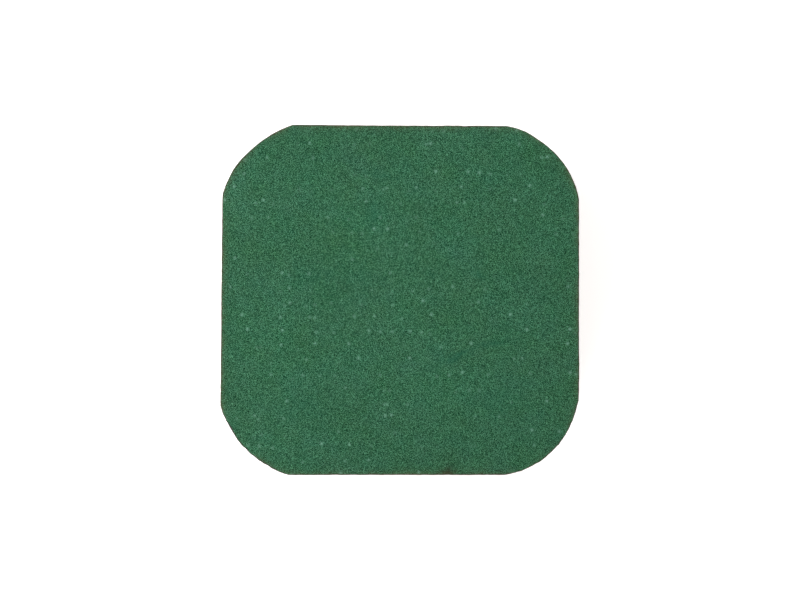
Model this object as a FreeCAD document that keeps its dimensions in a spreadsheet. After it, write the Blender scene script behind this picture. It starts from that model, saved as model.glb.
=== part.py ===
import FreeCAD, Part
import math
import os
import Sketcher

# One-step wooden mounting block. A felt-covered board stands on a splayed frame of four posts and
# four rails, which is boarded on all four sides and stands on rubber feet.
#
# X runs from left to right, Y from front to back and Z up. The origin is on the floor under the
# middle of the board. Lengths are in millimetres and angles in degrees.
#
# The sheet "Sizes" holds every driving size. The set "Fits" holds what follows from them, and every
# sketch, feature and placement is tied to the two by expressions.

V = FreeCAD.Vector

DRIVING_SIZES = (
    ("board_width", 400, "board from left to right at its middle"),
    ("board_depth", 391, "board from front to back at its middle"),
    ("block_height", 300, "floor to tread"),
    ("left_lean", 4, "how much further left the hand-cut left edge ends at the front"),
    ("back_lean", 2.2, "how much further back the hand-cut back edge ends at the left"),
    ("front_left_cut", 77.1, "corner of the board to the start of its rounding"),
    ("front_left_radius", 109.5, "radius of that rounding"),
    ("front_right_cut", 83.3, "corner of the board to the start of its rounding"),
    ("front_right_radius", 100.7, "radius of that rounding"),
    ("back_right_cut", 81.3, "corner of the board to the start of its rounding"),
    ("back_right_radius", 106.1, "radius of that rounding"),
    ("back_left_cut", 77.6, "corner of the board to the start of its rounding"),
    ("back_left_radius", 126, "radius of that rounding"),
    ("board_thickness", 21, "plywood of the top board"),
    ("board_arris", 1.6, "rounding of the board's top and bottom edges"),
    ("felt_thickness", 3, "mineral felt of the tread"),
    ("bed_thickness", 0.5, "adhesive under the felt"),
    ("felt_inset", 1.2, "board edge to felt edge"),
    ("overhang", 38, "board edge past the top of the boarding"),
    ("splay_angle", 5.5, "lean of posts and boarding from the vertical"),
    ("slat_thickness", 18, "boarding"),
    ("upper_slat_width", 78.8, "upper slat from edge to edge, wide enough for the hand hole"),
    ("slat_gap", 8, "between one slat and the next"),
    ("slat_arris", 1.5, "rounding of a slat's outer edges"),
    ("skirt_clearance", 24, "floor to the lowest slat, at its outer face"),
    ("post_side", 42, "square section of a corner post"),
    ("rail_setback", 4, "inner face of a post to that of a rail, so that no two rails meet"),
    ("rail_height", 25, "top rail from top to bottom"),
    ("wood_clearance", 0.2, "between two wooden faces that meet"),
    ("hand_hole_length", 110, "hand hole from end to end"),
    ("hand_hole_width", 32, "hand hole from top to bottom"),
    ("hand_hole_drop", 50, "top of the boarding to the middle of the hand hole, down the slope"),
    ("hand_hole_arris", 3, "rounding of the hand hole's rims"),
    ("screw_length", 40, "wood screw from head to point"),
    ("screw_shank", 4.4, "wood screw shank"),
    ("screw_head", 8.6, "countersunk head"),
    ("screw_head_rim", 0.3, "straight rim of the countersunk head"),
    ("screw_head_sink", 0.2, "head below the face of the wood"),
    ("screw_point", 5, "taper at the end of a screw"),
    ("recess_length", 4.6, "one bar of the cross recess in a screw head"),
    ("recess_width", 1.1, "width of that bar"),
    ("recess_depth", 1.9, "depth of that bar"),
    ("screw_play", 0.3, "screw shank in its hole, head in its countersink, across"),
    ("bore_spare", 1, "bore past the point of its screw"),
    ("front_screw_share", 0.2, "slat edge to screw, front and back, as a share of the slat"),
    ("side_screw_share", 0.33, "the same, left and right, so that the screws pass in a post"),
    ("rail_screw_inset", 50, "rail end to the screw that holds it to the boarding"),
    ("board_screw_inset", 18, "rail end to the screw that holds the board to it"),
    ("board_screw_shift", 6, "screw into a post's top, from the post's middle inwards"),
    ("foot_height", 12, "rubber foot"),
    ("foot_top_diameter", 40, "foot where it meets the post"),
    ("foot_bottom_diameter", 34, "foot on the floor"),
    ("foot_arris", 1.5, "rounding of the foot's lower edge"),
    ("foot_recess_diameter", 18, "recess for washer and screw head"),
    ("foot_recess_depth", 7, "depth of that recess"),
    ("washer_play", 1, "washer in the foot's recess, across"),
    ("washer_thickness", 1.5, "foot washer"),
    ("foot_screw_length", 25, "foot screw under its head"),
    ("foot_screw_head", 9.4, "pan head of a foot screw"),
    ("foot_screw_head_height", 2.8, "height of that head"),
)

SPLAY = "Sizes.splay_angle"

# The boarding's half sizes are taken at its outer face, level with the underside of the board.
WORKED_OUT_SIZES = (
    ("board_top", "Sizes.block_height - Sizes.felt_thickness - Sizes.bed_thickness"),
    ("board_underside", "Fits.board_top - Sizes.board_thickness"),
    ("half_width", "Sizes.board_width / 2 - Sizes.overhang"),
    ("half_depth", "Sizes.board_depth / 2 - Sizes.overhang"),
    ("boarding_span", f"(Fits.board_underside - Sizes.skirt_clearance) / cos({SPLAY})"),
    ("lower_slat_width", "(Fits.boarding_span - Sizes.wood_clearance - Sizes.upper_slat_width"
                         " - 2 * Sizes.slat_gap) / 2"),
    ("post_face", f"Sizes.slat_thickness / cos({SPLAY}) + Sizes.wood_clearance"),
    ("post_line", "Fits.post_face + Sizes.post_side / 2"),
    ("post_height", "Fits.board_underside - Sizes.foot_height"),
    ("rail_width", "Sizes.post_side - Sizes.rail_setback"),
    ("rail_end", "Fits.post_face + Sizes.post_side + Sizes.wood_clearance"),
    ("shank_hole", "Sizes.screw_shank + Sizes.screw_play"),
    ("head_hole", "Sizes.screw_head + 2 * (Sizes.screw_head_sink + Sizes.screw_head_rim)"
                  " + Sizes.screw_play"),
    ("bore_depth", "Sizes.screw_head_sink + Sizes.screw_length + Sizes.bore_spare"),
    ("washer_diameter", "Sizes.foot_recess_diameter - Sizes.washer_play"),
    ("foot_head_level", "Sizes.foot_recess_depth - Sizes.washer_thickness"),
    ("foot_lean", f"Fits.post_height * tan({SPLAY})"),
)

doc = FreeCAD.newDocument("MountingBlock")

sheet = doc.addObject("Spreadsheet::Sheet", "Sizes")
for row, (alias, value, meaning) in enumerate(DRIVING_SIZES, start=1):
    sheet.set(f"A{row}", alias)
    sheet.set(f"B{row}", str(value))
    sheet.setAlias(f"B{row}", alias)
    sheet.set(f"C{row}", meaning)
doc.recompute()

fits = doc.addObject("App::VarSet", "Fits")
for name, rule in WORKED_OUT_SIZES:
    fits.addProperty("App::PropertyFloat", name)
    fits.setExpression(name, rule)
    doc.recompute()


def number(expression):
    """Value of an expression on the sizes and fits."""
    value = fits.evalExpression(expression)
    return float(getattr(value, "Value", value))


# ------------------------------------------------------------------ the four sides and corners

# A side is drawn as the front one and turned about Z. Its sloping frame has its origin on the outer
# face of the boarding, level with the board's underside: x runs along the side, y up the slope and
# z out of the face. "half" is the boarding's half size across the side, "reach" its distance from
# the middle of the block.
SIDES = {
    "front": {"turn": 0, "half": "Fits.half_width", "reach": "Fits.half_depth"},
    "right": {"turn": 90, "half": "Fits.half_depth", "reach": "Fits.half_width"},
    "back": {"turn": 180, "half": "Fits.half_width", "reach": "Fits.half_depth"},
    "left": {"turn": 270, "half": "Fits.half_depth", "reach": "Fits.half_width"},
}

# Each corner of the block: its direction in X and Y, and the two sides that meet there, each with
# the end of that side's own x axis that the corner is at.
CORNERS = {
    "front_left": {"x": -1, "y": -1, "ends": {"front": -1, "left": 1}},
    "front_right": {"x": 1, "y": -1, "ends": {"front": 1, "right": -1}},
    "back_right": {"x": 1, "y": 1, "ends": {"right": 1, "back": -1}},
    "back_left": {"x": -1, "y": 1, "ends": {"back": 1, "left": -1}},
}

SLAT_ROWS = ("upper", "middle", "lower")


def turn_of(side):
    """Placement expression that turns the front side to the given one."""
    return f"placement(vector(0; 0; 0); rotation(vector(0; 0; 1); {SIDES[side]['turn']}))"


def slope_frame(side):
    """Placement expression of a side's sloping frame."""
    slope = (f"placement(vector(0; -{SIDES[side]['reach']}; Fits.board_underside);"
             f" rotation(vector(1; 0; 0); 90 - {SPLAY}))")
    return f"{turn_of(side)} * {slope}"


def turned(side, x, y):
    """Block coordinates, as expressions, of a point given in the front side's position."""
    quarter_turns = SIDES[side]["turn"] // 90
    for _ in range(quarter_turns):
        x, y = f"-({y})", x
    return x, y


# ------------------------------------------------------------------ sketches and features

def bind(sketch, constraint, expression):
    """Add a dimension to a sketch, tied to an expression."""
    index = sketch.addConstraint(constraint)
    name = f"size_{index}"
    sketch.renameConstraint(index, name)
    sketch.setExpression(f"Constraints.{name}", expression)


def pin(sketch, geometry, vertex, x, y):
    """Fix a point of a sketch at x, y, each an expression."""
    for kind, axis, expression in (("DistanceX", -2, x), ("DistanceY", -1, y)):
        if expression == "0":
            sketch.addConstraint(Sketcher.Constraint("PointOnObject", geometry, vertex, axis))
        else:
            value = number(expression)
            bind(sketch, Sketcher.Constraint(kind, -1, 1, geometry, vertex, value), expression)


def join(sketch, geometry, vertex, other, other_vertex):
    """Hold two points of a sketch together."""
    joint = Sketcher.Constraint("Coincident", geometry, vertex, other, other_vertex)
    sketch.addConstraint(joint)


def draw_polygon(sketch, corners, construction=False):
    """Closed polygon through corners given as pairs of expressions. Returns its first line."""
    points = [V(number(x), number(y), 0) for x, y in corners]
    first = sketch.GeometryCount
    for start, end in zip(points, points[1:] + points[:1]):
        sketch.addGeometry(Part.LineSegment(start, end), construction)
    for index, (x, y) in enumerate(corners):
        join(sketch, first + index, 1, first + (index - 1) % len(corners), 2)
        pin(sketch, first + index, 1, x, y)
    return first


def draw_circles(sketch, centres, diameter):
    """Circles of one diameter at centres given as pairs of expressions."""
    for x, y in centres:
        centre = V(number(x), number(y), 0)
        circle = sketch.addGeometry(Part.Circle(centre, V(0, 0, 1), number(diameter) / 2))
        pin(sketch, circle, 3, x, y)
        bind(sketch, Sketcher.Constraint("Diameter", circle, number(diameter)), diameter)


def new_body(label):
    """Body of one piece, or the pattern for a group of equal pieces."""
    body = doc.addObject("PartDesign::Body", label)
    body.Label = label
    return body


def new_sketch(body, label, plane="XY_Plane", offset=None):
    """Sketch on an origin plane of its body, moved by a placement expression."""
    sketch = body.newObject("Sketcher::SketchObject", label)
    support = next(p for p in body.Origin.OriginFeatures if p.Role == plane)
    sketch.AttachmentSupport = (support, [""])
    sketch.MapMode = "FlatFace"
    if offset:
        sketch.setExpression("AttachmentOffset", offset)
        doc.recompute()
    return sketch


def at_level(height):
    """Placement expression of a horizontal plane."""
    return f"placement(vector(0; 0; {height}); rotation(vector(0; 0; 1); 0))"


def pad(body, sketch, length, downwards=False):
    """Pad a sketch along its normal, or against it."""
    feature = body.newObject("PartDesign::Pad", f"{sketch.Name}_pad")
    feature.Profile = sketch
    feature.Reversed = downwards
    feature.setExpression("Length", length)
    doc.recompute()
    return feature


def revolve(body, sketch):
    """Turn a sketch once about its own vertical axis."""
    feature = body.newObject("PartDesign::Revolution", f"{sketch.Name}_turning")
    feature.Profile = sketch
    feature.ReferenceAxis = (sketch, ["V_Axis"])
    feature.Angle = 360
    doc.recompute()
    return feature


def cut(body, sketch, depth, upwards=False):
    """Pocket a sketch against its normal, or along it, and make sure that it took wood away."""
    before = body.Shape.Volume
    feature = body.newObject("PartDesign::Pocket", f"{sketch.Name}_pocket")
    feature.Profile = sketch
    feature.Reversed = upwards
    feature.setExpression("Length", depth)
    doc.recompute()
    if not body.Shape.Volume < before:
        raise RuntimeError(f"{feature.Name} cuts nothing")
    return feature


def countersink(body, sketch):
    """Screw holes right through, countersunk for the wood screw's head."""
    before = body.Shape.Volume
    feature = body.newObject("PartDesign::Hole", f"{sketch.Name}_drilling")
    feature.Profile = sketch
    doc.recompute()
    feature.DepthType = "ThroughAll"
    feature.HoleCutType = "Countersink"
    feature.HoleCutCustomValues = True
    feature.HoleCutCountersinkAngle = 90
    feature.setExpression("Diameter", "Fits.shank_hole")
    feature.setExpression("HoleCutDiameter", "Fits.head_hole")
    doc.recompute()
    if not body.Shape.Volume < before:
        raise RuntimeError(f"{feature.Name} drills nothing")
    return feature


def round_edges(body, radius, chosen):
    """Fillet the edges of a body's last feature that the function "chosen" picks."""
    base = body.Tip
    edges = [f"Edge{i}" for i, edge in enumerate(base.Shape.Edges, start=1) if chosen(edge)]
    feature = body.newObject("PartDesign::Fillet", f"{body.Name}_rounding_{len(body.Group)}")
    feature.Base = (base, edges)
    feature.setExpression("Radius", radius)
    doc.recompute()
    return feature


def lies_at(level, edge):
    """Whether all of an edge lies at one height."""
    box = edge.BoundBox
    return abs(box.ZMin - level) < 0.001 and abs(box.ZMax - level) < 0.001


# ------------------------------------------------------------------ where the screws go

def post_screws(side, end):
    """Screws that hold the boarding of one side to the post at one end of it, in that side's
    sloping frame: two in each slat, a share of its width in from its long edges."""
    share = "Sizes.front_screw_share" if side in ("front", "back") else "Sizes.side_screw_share"
    places = []
    for row in range(len(SLAT_ROWS)):
        top, bottom = slat_edges(row)
        for near, far in ((top, bottom), (bottom, top)):
            drop = f"{near} + (({far}) - ({near})) * {share}"
            line = f"{SIDES[side]['half']} - Fits.post_line + ({drop}) * sin({SPLAY})"
            places.append((f"{end} * ({line})", f"-({drop})"))
    return places


def rail_screws(side):
    """Screws that hold the top slat of one side to the rail behind it, in that side's frame."""
    along = f"{SIDES[side]['half']} - Fits.rail_end - Sizes.rail_screw_inset"
    drop = "Sizes.rail_height / 2"
    return [(f"{end} * ({along})", f"-({drop})") for end in (-1, 1)]


def board_rail_screws(side):
    """Screws down through the board into one rail, in the front side's position."""
    along = f"{SIDES[side]['half']} - Fits.rail_end - Sizes.board_screw_inset"
    in_from_edge = f"{SIDES[side]['reach']} - Fits.post_face - Fits.rail_width / 2"
    return [(f"{end} * ({along})", f"-({in_from_edge})") for end in (-1, 1)]


def board_post_screw(corner):
    """Screw down through the board into the top of one post, in the block's coordinates."""
    place = CORNERS[corner]
    inwards = "Fits.post_line + Sizes.board_screw_shift"
    return (f"{place['x']} * (Fits.half_width - ({inwards}))",
            f"{place['y']} * (Fits.half_depth - ({inwards}))")


def foot_place(corner):
    """Middle of a post's lower end, where its foot is fixed, in the block's coordinates."""
    place = CORNERS[corner]
    return (f"{place['x']} * (Fits.half_width - Fits.post_line + Fits.foot_lean)",
            f"{place['y']} * (Fits.half_depth - Fits.post_line + Fits.foot_lean)")


# ------------------------------------------------------------------ tread and board

def board_corner(corner):
    """Corner of the board before it is rounded, as a pair of expressions."""
    place = CORNERS[corner]
    x = f"{place['x']} * Sizes.board_width / 2"
    y = f"{place['y']} * Sizes.board_depth / 2"
    if corner.endswith("left"):
        x += f" {'+' if place['y'] > 0 else '-'} Sizes.left_lean / 2"
    if corner == "back_left":
        y += " + Sizes.back_lean / 2"
    if corner == "back_right":
        y += " - Sizes.back_lean / 2"
    return x, y


def rounding_arc(before, corner, after, cut_length, radius):
    """Arc that rounds a corner between points cut_length from it along its two edges."""
    start = corner + (before - corner).normalize() * cut_length
    end = corner + (after - corner).normalize() * cut_length
    middle = (start + end) * 0.5
    rise = math.sqrt(radius ** 2 - (end - start).Length ** 2 / 4)
    centre = middle + (middle - corner).normalize() * rise
    angles = [math.atan2(p.y - centre.y, p.x - centre.x) for p in (start, end)]
    if angles[1] < angles[0]:
        angles[1] += 2 * math.pi
    return Part.ArcOfCircle(Part.Circle(centre, V(0, 0, 1), radius), *angles)


def draw_board_outline(sketch, construction=False):
    """Outline of the board: four edges, and a rounding across each corner that meets them at a
    slight angle, as a saw and a rasp leave it. Returns the first guide, edge and arc."""
    names = list(CORNERS)
    corners = [board_corner(name) for name in names]
    points = [V(number(x), number(y), 0) for x, y in corners]
    count = len(names)
    guide = draw_polygon(sketch, corners, construction=True)
    first_arc = sketch.GeometryCount
    arcs = []
    for i, name in enumerate(names):
        cut_length = number(f"Sizes.{name}_cut")
        radius = number(f"Sizes.{name}_radius")
        after = points[(i + 1) % count]
        arcs.append(rounding_arc(points[i - 1], points[i], after, cut_length, radius))
        sketch.addGeometry(arcs[i], construction)
    first_edge = sketch.GeometryCount
    for i in range(count):
        edge = Part.LineSegment(arcs[i].EndPoint, arcs[(i + 1) % count].StartPoint)
        sketch.addGeometry(edge, construction)
    for i, name in enumerate(names):
        arc = first_arc + i
        edge_before = first_edge + (i - 1) % count
        edge_after = first_edge + i
        join(sketch, arc, 1, edge_before, 2)
        join(sketch, arc, 2, edge_after, 1)
        sketch.addConstraint(Sketcher.Constraint("PointOnObject", arc, 1, guide + (i - 1) % count))
        sketch.addConstraint(Sketcher.Constraint("PointOnObject", arc, 2, guide + i))
        for vertex in (1, 2):
            length = number(f"Sizes.{name}_cut")
            distance = Sketcher.Constraint("Distance", arc, vertex, guide + i, 1, length)
            bind(sketch, distance, f"Sizes.{name}_cut")
        radius = number(f"Sizes.{name}_radius")
        bind(sketch, Sketcher.Constraint("Radius", arc, radius), f"Sizes.{name}_radius")
    return guide, first_edge, first_arc


def draw_felt_outline(sketch):
    """The board's outline moved in by the felt's inset, with the board's own as a guide."""
    guide, board_edge, board_arc = draw_board_outline(sketch, construction=True)
    inset = number("Sizes.felt_inset")
    names = list(CORNERS)
    count = len(names)
    edges = [sketch.Geometry[board_edge + i] for i in range(count)]
    inner_edges = []
    for edge in edges:
        along = (edge.EndPoint - edge.StartPoint).normalize()
        inwards = V(-along.y, along.x, 0) * inset
        inner_edges.append(Part.LineSegment(edge.StartPoint + inwards, edge.EndPoint + inwards))
    first_arc = sketch.GeometryCount
    for i in range(count):
        outer = sketch.Geometry[board_arc + i]
        radius = outer.Radius - inset
        circle = Part.Circle(outer.Center, V(0, 0, 1), radius)
        sketch.addGeometry(Part.ArcOfCircle(circle, outer.FirstParameter, outer.LastParameter))
    first_edge = sketch.GeometryCount
    for edge in inner_edges:
        sketch.addGeometry(edge)
    for i, name in enumerate(names):
        arc = first_arc + i
        join(sketch, arc, 3, board_arc + i, 3)
        join(sketch, arc, 1, first_edge + (i - 1) % count, 2)
        join(sketch, arc, 2, first_edge + i, 1)
        radius = number(f"Sizes.{name}_radius") - inset
        rule = f"Sizes.{name}_radius - Sizes.felt_inset"
        bind(sketch, Sketcher.Constraint("Radius", arc, radius), rule)
        sketch.addConstraint(Sketcher.Constraint("Parallel", first_edge + i, guide + i))
        distance = Sketcher.Constraint("Distance", first_edge + i, 1, guide + i, inset)
        bind(sketch, distance, "Sizes.felt_inset")


def make_top_board():
    """Plywood board with rounded corners, countersunk for the screws that hold it down."""
    body = new_body("top_board")
    outline = new_sketch(body, "board_outline", offset=at_level("Fits.board_underside"))
    draw_board_outline(outline)
    pad(body, outline, "Sizes.board_thickness")
    levels = (number("Fits.board_underside"), number("Fits.board_top"))
    round_edges(body, "Sizes.board_arris", lambda e: any(lies_at(z, e) for z in levels))
    holes = new_sketch(body, "board_holes", offset=at_level("Fits.board_top"))
    centres = [board_post_screw(corner) for corner in CORNERS]
    for side in SIDES:
        centres += [turned(side, x, y) for x, y in board_rail_screws(side)]
    draw_circles(holes, centres, "Fits.shank_hole")
    countersink(body, holes)
    return body


def make_sheet_layer(label, level, thickness):
    """A flat layer on the board, as wide as the felt."""
    body = new_body(label)
    outline = new_sketch(body, f"{label}_outline", offset=at_level(level))
    draw_felt_outline(outline)
    pad(body, outline, thickness)
    return body


# ------------------------------------------------------------------ boarding

def slat_edges(row):
    """Distances down the slope to a slat's top and bottom edges, as expressions. Row 0 is the
    upper slat, and the two below it share the rest of the slope."""
    if row == 0:
        return "Sizes.wood_clearance", "Sizes.wood_clearance + Sizes.upper_slat_width"
    _, above = slat_edges(row - 1)
    top = f"{above} + Sizes.slat_gap"
    return top, f"{top} + Fits.lower_slat_width"


def make_slat(side, row):
    """One board of a side. Front and back slats run past the ends of the left and right ones,
    which stop against their inner faces."""
    label = f"{side}_slat_{SLAT_ROWS[row]}"
    body = new_body(label)
    half = SIDES[side]["half"]
    if side in ("left", "right"):
        half = f"{half} - Fits.post_face"
    top, bottom = slat_edges(row)
    half_top = f"{half} + ({top}) * sin({SPLAY})"
    half_bottom = f"{half} + ({bottom}) * sin({SPLAY})"
    outline = new_sketch(body, f"{label}_outline")
    draw_polygon(outline, [
        (f"-({half_bottom})", f"-({bottom})"),
        (half_bottom, f"-({bottom})"),
        (half_top, f"-({top})"),
        (f"-({half_top})", f"-({top})"),
    ])
    pad(body, outline, "Sizes.slat_thickness", downwards=True)
    round_edges(body, "Sizes.slat_arris", lambda edge: lies_at(0, edge))
    if row == 0 and side in ("left", "right"):
        cut_hand_hole(body)
    holes = new_sketch(body, f"{label}_holes")
    places = [place for end in (-1, 1) for place in post_screws(side, end)[2 * row:2 * row + 2]]
    if row == 0:
        places += rail_screws(side)
    draw_circles(holes, places, "Fits.shank_hole")
    countersink(body, holes)
    body.setExpression("Placement", slope_frame(side))
    return body


def cut_hand_hole(body):
    """Round-ended hole right through a slat, with its rims rounded inside and out."""
    slot = new_sketch(body, f"{body.Name}_hand_hole")
    radius = number("Sizes.hand_hole_width") / 2
    straight = number("Sizes.hand_hole_length") / 2 - radius
    level = -number("Sizes.hand_hole_drop")
    right = Part.Circle(V(straight, level, 0), V(0, 0, 1), radius)
    left = Part.Circle(V(-straight, level, 0), V(0, 0, 1), radius)
    quarter = math.pi / 2
    right_end = slot.addGeometry(Part.ArcOfCircle(right, -quarter, quarter))
    left_end = slot.addGeometry(Part.ArcOfCircle(left, quarter, 3 * quarter))
    upper = slot.addGeometry(Part.LineSegment(V(straight, level + radius, 0),
                                              V(-straight, level + radius, 0)))
    lower = slot.addGeometry(Part.LineSegment(V(-straight, level - radius, 0),
                                              V(straight, level - radius, 0)))
    for arc, vertex, line, line_vertex in ((right_end, 2, upper, 1), (left_end, 1, upper, 2),
                                           (left_end, 2, lower, 1), (right_end, 1, lower, 2)):
        slot.addConstraint(Sketcher.Constraint("Tangent", arc, vertex, line, line_vertex))
    reach = "Sizes.hand_hole_length / 2 - Sizes.hand_hole_width / 2"
    pin(slot, right_end, 3, reach, "-Sizes.hand_hole_drop")
    pin(slot, left_end, 3, f"-({reach})", "-Sizes.hand_hole_drop")
    bind(slot, Sketcher.Constraint("Radius", right_end, radius), "Sizes.hand_hole_width / 2")
    cut(body, slot, "Sizes.slat_thickness")
    faces = (0, -number("Sizes.slat_thickness"))
    half = number("Sizes.hand_hole_length") / 2 + 0.001

    def on_rim(edge):
        """Whether an edge runs round an opening of the hole."""
        box = edge.BoundBox
        within = abs(box.XMin) < half and abs(box.XMax) < half
        near = box.YMin > level - radius - 0.001 and box.YMax < level + radius + 0.001
        return within and near and any(lies_at(z, edge) for z in faces)

    round_edges(body, "Sizes.hand_hole_arris", on_rim)


# ------------------------------------------------------------------ frame

def make_post(corner):
    """Square post that leans outwards both ways, with level ends, bored for its screws."""
    place = CORNERS[corner]
    label = f"corner_post_{corner}"
    body = new_body(label)
    section = new_sketch(body, f"{label}_section", offset=at_level("Sizes.foot_height"))
    outer_x = f"{place['x']} * (Fits.half_width - Fits.post_face + Fits.foot_lean)"
    outer_y = f"{place['y']} * (Fits.half_depth - Fits.post_face + Fits.foot_lean)"
    inner_x = f"{outer_x} - {place['x']} * Sizes.post_side"
    inner_y = f"{outer_y} - {place['y']} * Sizes.post_side"
    draw_polygon(section, [
        (inner_x, inner_y),
        (outer_x, inner_y),
        (outer_x, outer_y),
        (inner_x, outer_y),
    ])
    stem = pad(body, section, "Fits.post_height")
    stem.UseCustomVector = True
    stem.AlongSketchNormal = True
    stem.setExpression("Direction.x", f"-{place['x']} * tan({SPLAY})")
    stem.setExpression("Direction.y", f"-{place['y']} * tan({SPLAY})")
    stem.setExpression("Direction.z", "1")
    doc.recompute()
    for side, end in place["ends"].items():
        bores = new_sketch(body, f"{label}_{side}_bores", offset=slope_frame(side))
        draw_circles(bores, post_screws(side, end), "Fits.shank_hole")
        cut(body, bores, "Fits.bore_depth")
    top_bore = new_sketch(body, f"{label}_top_bore", offset=at_level("Fits.board_top"))
    draw_circles(top_bore, [board_post_screw(corner)], "Fits.shank_hole")
    cut(body, top_bore, "Fits.bore_depth")
    foot_bore = new_sketch(body, f"{label}_foot_bore", offset=at_level("Fits.foot_head_level"))
    draw_circles(foot_bore, [foot_place(corner)], "Fits.shank_hole")
    cut(body, foot_bore, "Sizes.foot_screw_length + Sizes.bore_spare", upwards=True)
    return body


def make_rail(side):
    """Rail under the board between two posts, with its outer face planed to the splay."""
    label = f"top_rail_{side}"
    body = new_body(label)
    section = new_sketch(body, f"{label}_section", plane="YZ_Plane")
    outer = f"-({SIDES[side]['reach']} - Fits.post_face)"
    top = "Fits.board_underside"
    bottom = "Fits.board_underside - Sizes.rail_height"
    draw_polygon(section, [
        (outer, top),
        (f"{outer} - Sizes.rail_height * tan({SPLAY})", bottom),
        (f"{outer} + Fits.rail_width", bottom),
        (f"{outer} + Fits.rail_width", top),
    ])
    stick = pad(body, section, f"2 * ({SIDES[side]['half']} - Fits.rail_end)")
    stick.Midplane = True
    doc.recompute()
    slope = (f"placement(vector(0; -{SIDES[side]['reach']}; Fits.board_underside);"
             f" rotation(vector(1; 0; 0); 90 - {SPLAY}))")
    side_bores = new_sketch(body, f"{label}_side_bores", offset=slope)
    draw_circles(side_bores, rail_screws(side), "Fits.shank_hole")
    cut(body, side_bores, "Fits.bore_depth")
    top_bores = new_sketch(body, f"{label}_top_bores", offset=at_level("Fits.board_top"))
    draw_circles(top_bores, board_rail_screws(side), "Fits.shank_hole")
    cut(body, top_bores, "Fits.bore_depth")
    body.setExpression("Placement", turn_of(side))
    return body


# ------------------------------------------------------------------ feet and fasteners

def make_foot(corner):
    """Tapered rubber foot with a recess for its washer and screw head."""
    label = f"rubber_foot_{corner}"
    body = new_body(label)
    section = new_sketch(body, f"{label}_section", plane="XZ_Plane")
    draw_polygon(section, [
        ("Fits.shank_hole / 2", "Sizes.foot_recess_depth"),
        ("Sizes.foot_recess_diameter / 2", "Sizes.foot_recess_depth"),
        ("Sizes.foot_recess_diameter / 2", "0"),
        ("Sizes.foot_bottom_diameter / 2", "0"),
        ("Sizes.foot_top_diameter / 2", "Sizes.foot_height"),
        ("Fits.shank_hole / 2", "Sizes.foot_height"),
    ])
    revolve(body, section)
    rim = number("Sizes.foot_bottom_diameter") / 2 - 0.001
    round_edges(body, "Sizes.foot_arris", lambda e: lies_at(0, e) and e.BoundBox.XMax > rim)
    x, y = foot_place(corner)
    body.setExpression("Placement.Base.x", x)
    body.setExpression("Placement.Base.y", y)
    return body


def make_wood_screw():
    """Countersunk screw with a cross recess: head up at the origin, point down."""
    body = new_body("wood_screw_pattern")
    section = new_sketch(body, "wood_screw_section", plane="XZ_Plane")
    shank = "Sizes.screw_shank / 2"
    neck = f"-(Sizes.screw_head_rim + Sizes.screw_head / 2 - {shank})"
    draw_polygon(section, [
        ("0", "0"),
        ("Sizes.screw_head / 2", "0"),
        ("Sizes.screw_head / 2", "-Sizes.screw_head_rim"),
        (shank, neck),
        (shank, "-(Sizes.screw_length - Sizes.screw_point)"),
        ("0", "-Sizes.screw_length"),
    ])
    revolve(body, section)
    cut_cross_recess(body, "0")
    return body


def cut_cross_recess(body, level):
    """Cross recess in a screw head, down from the given level."""
    long_half = "Sizes.recess_length / 2"
    short_half = "Sizes.recess_width / 2"
    for name, half_x, half_y in (("long", long_half, short_half), ("wide", short_half, long_half)):
        bar = new_sketch(body, f"{body.Name}_{name}_bar", offset=at_level(level))
        draw_polygon(bar, [
            (f"-({half_x})", f"-({half_y})"),
            (half_x, f"-({half_y})"),
            (half_x, half_y),
            (f"-({half_x})", half_y),
        ])
        cut(body, bar, "Sizes.recess_depth")


def make_foot_screw():
    """Pan-head screw: underside of its head at the origin, head up and point down."""
    body = new_body("foot_screw_pattern")
    section = new_sketch(body, "foot_screw_section", plane="XZ_Plane")
    head = "Sizes.foot_screw_head / 2"
    draw_polygon(section, [
        ("0", "-Sizes.foot_screw_length"),
        ("Sizes.screw_shank / 2", "-(Sizes.foot_screw_length - Sizes.screw_point)"),
        ("Sizes.screw_shank / 2", "0"),
        (head, "0"),
        (head, "Sizes.foot_screw_head_height / 2"),
        (f"{head} * 0.8", "Sizes.foot_screw_head_height"),
        ("0", "Sizes.foot_screw_head_height"),
    ])
    revolve(body, section)
    cut_cross_recess(body, "Sizes.foot_screw_head_height")
    return body


def make_washer():
    """Flat washer with its upper face at the origin."""
    body = new_body("foot_washer_pattern")
    ring = new_sketch(body, "washer_ring")
    for diameter in ("Fits.washer_diameter", "Fits.shank_hole"):
        circle = Part.Circle(V(0, 0, 0), V(0, 0, 1), number(diameter) / 2)
        index = ring.addGeometry(circle)
        join(ring, index, 3, -1, 1)
        bind(ring, Sketcher.Constraint("Diameter", index, number(diameter)), diameter)
    pad(body, ring, "Sizes.washer_thickness", downwards=True)
    return body


def make_group(label, pattern, placements):
    """One node of equal pieces: a copy of the pattern at each placement expression."""
    copies = []
    for index, placement in enumerate(placements, start=1):
        copy = doc.addObject("App::Link", f"{label}_{index}")
        copy.LinkedObject = pattern
        copy.setExpression("Placement", placement)
        copies.append(copy)
    group = doc.addObject("Part::Compound", label)
    group.Label = label
    group.Links = copies
    return group


def placed(x, y, z, turned_over=False):
    """Placement expression at a point, upright or turned over about X."""
    turn = 180 if turned_over else 0
    return f"placement(vector({x}; {y}; {z}); rotation(vector(1; 0; 0); {turn}))"


def slat_screw_placements(side):
    """Placements of all the screws in the boarding of one side."""
    places = post_screws(side, -1) + post_screws(side, 1) + rail_screws(side)
    return [f"{slope_frame(side)} * {placed(x, y, '-Sizes.screw_head_sink')}" for x, y in places]


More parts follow.
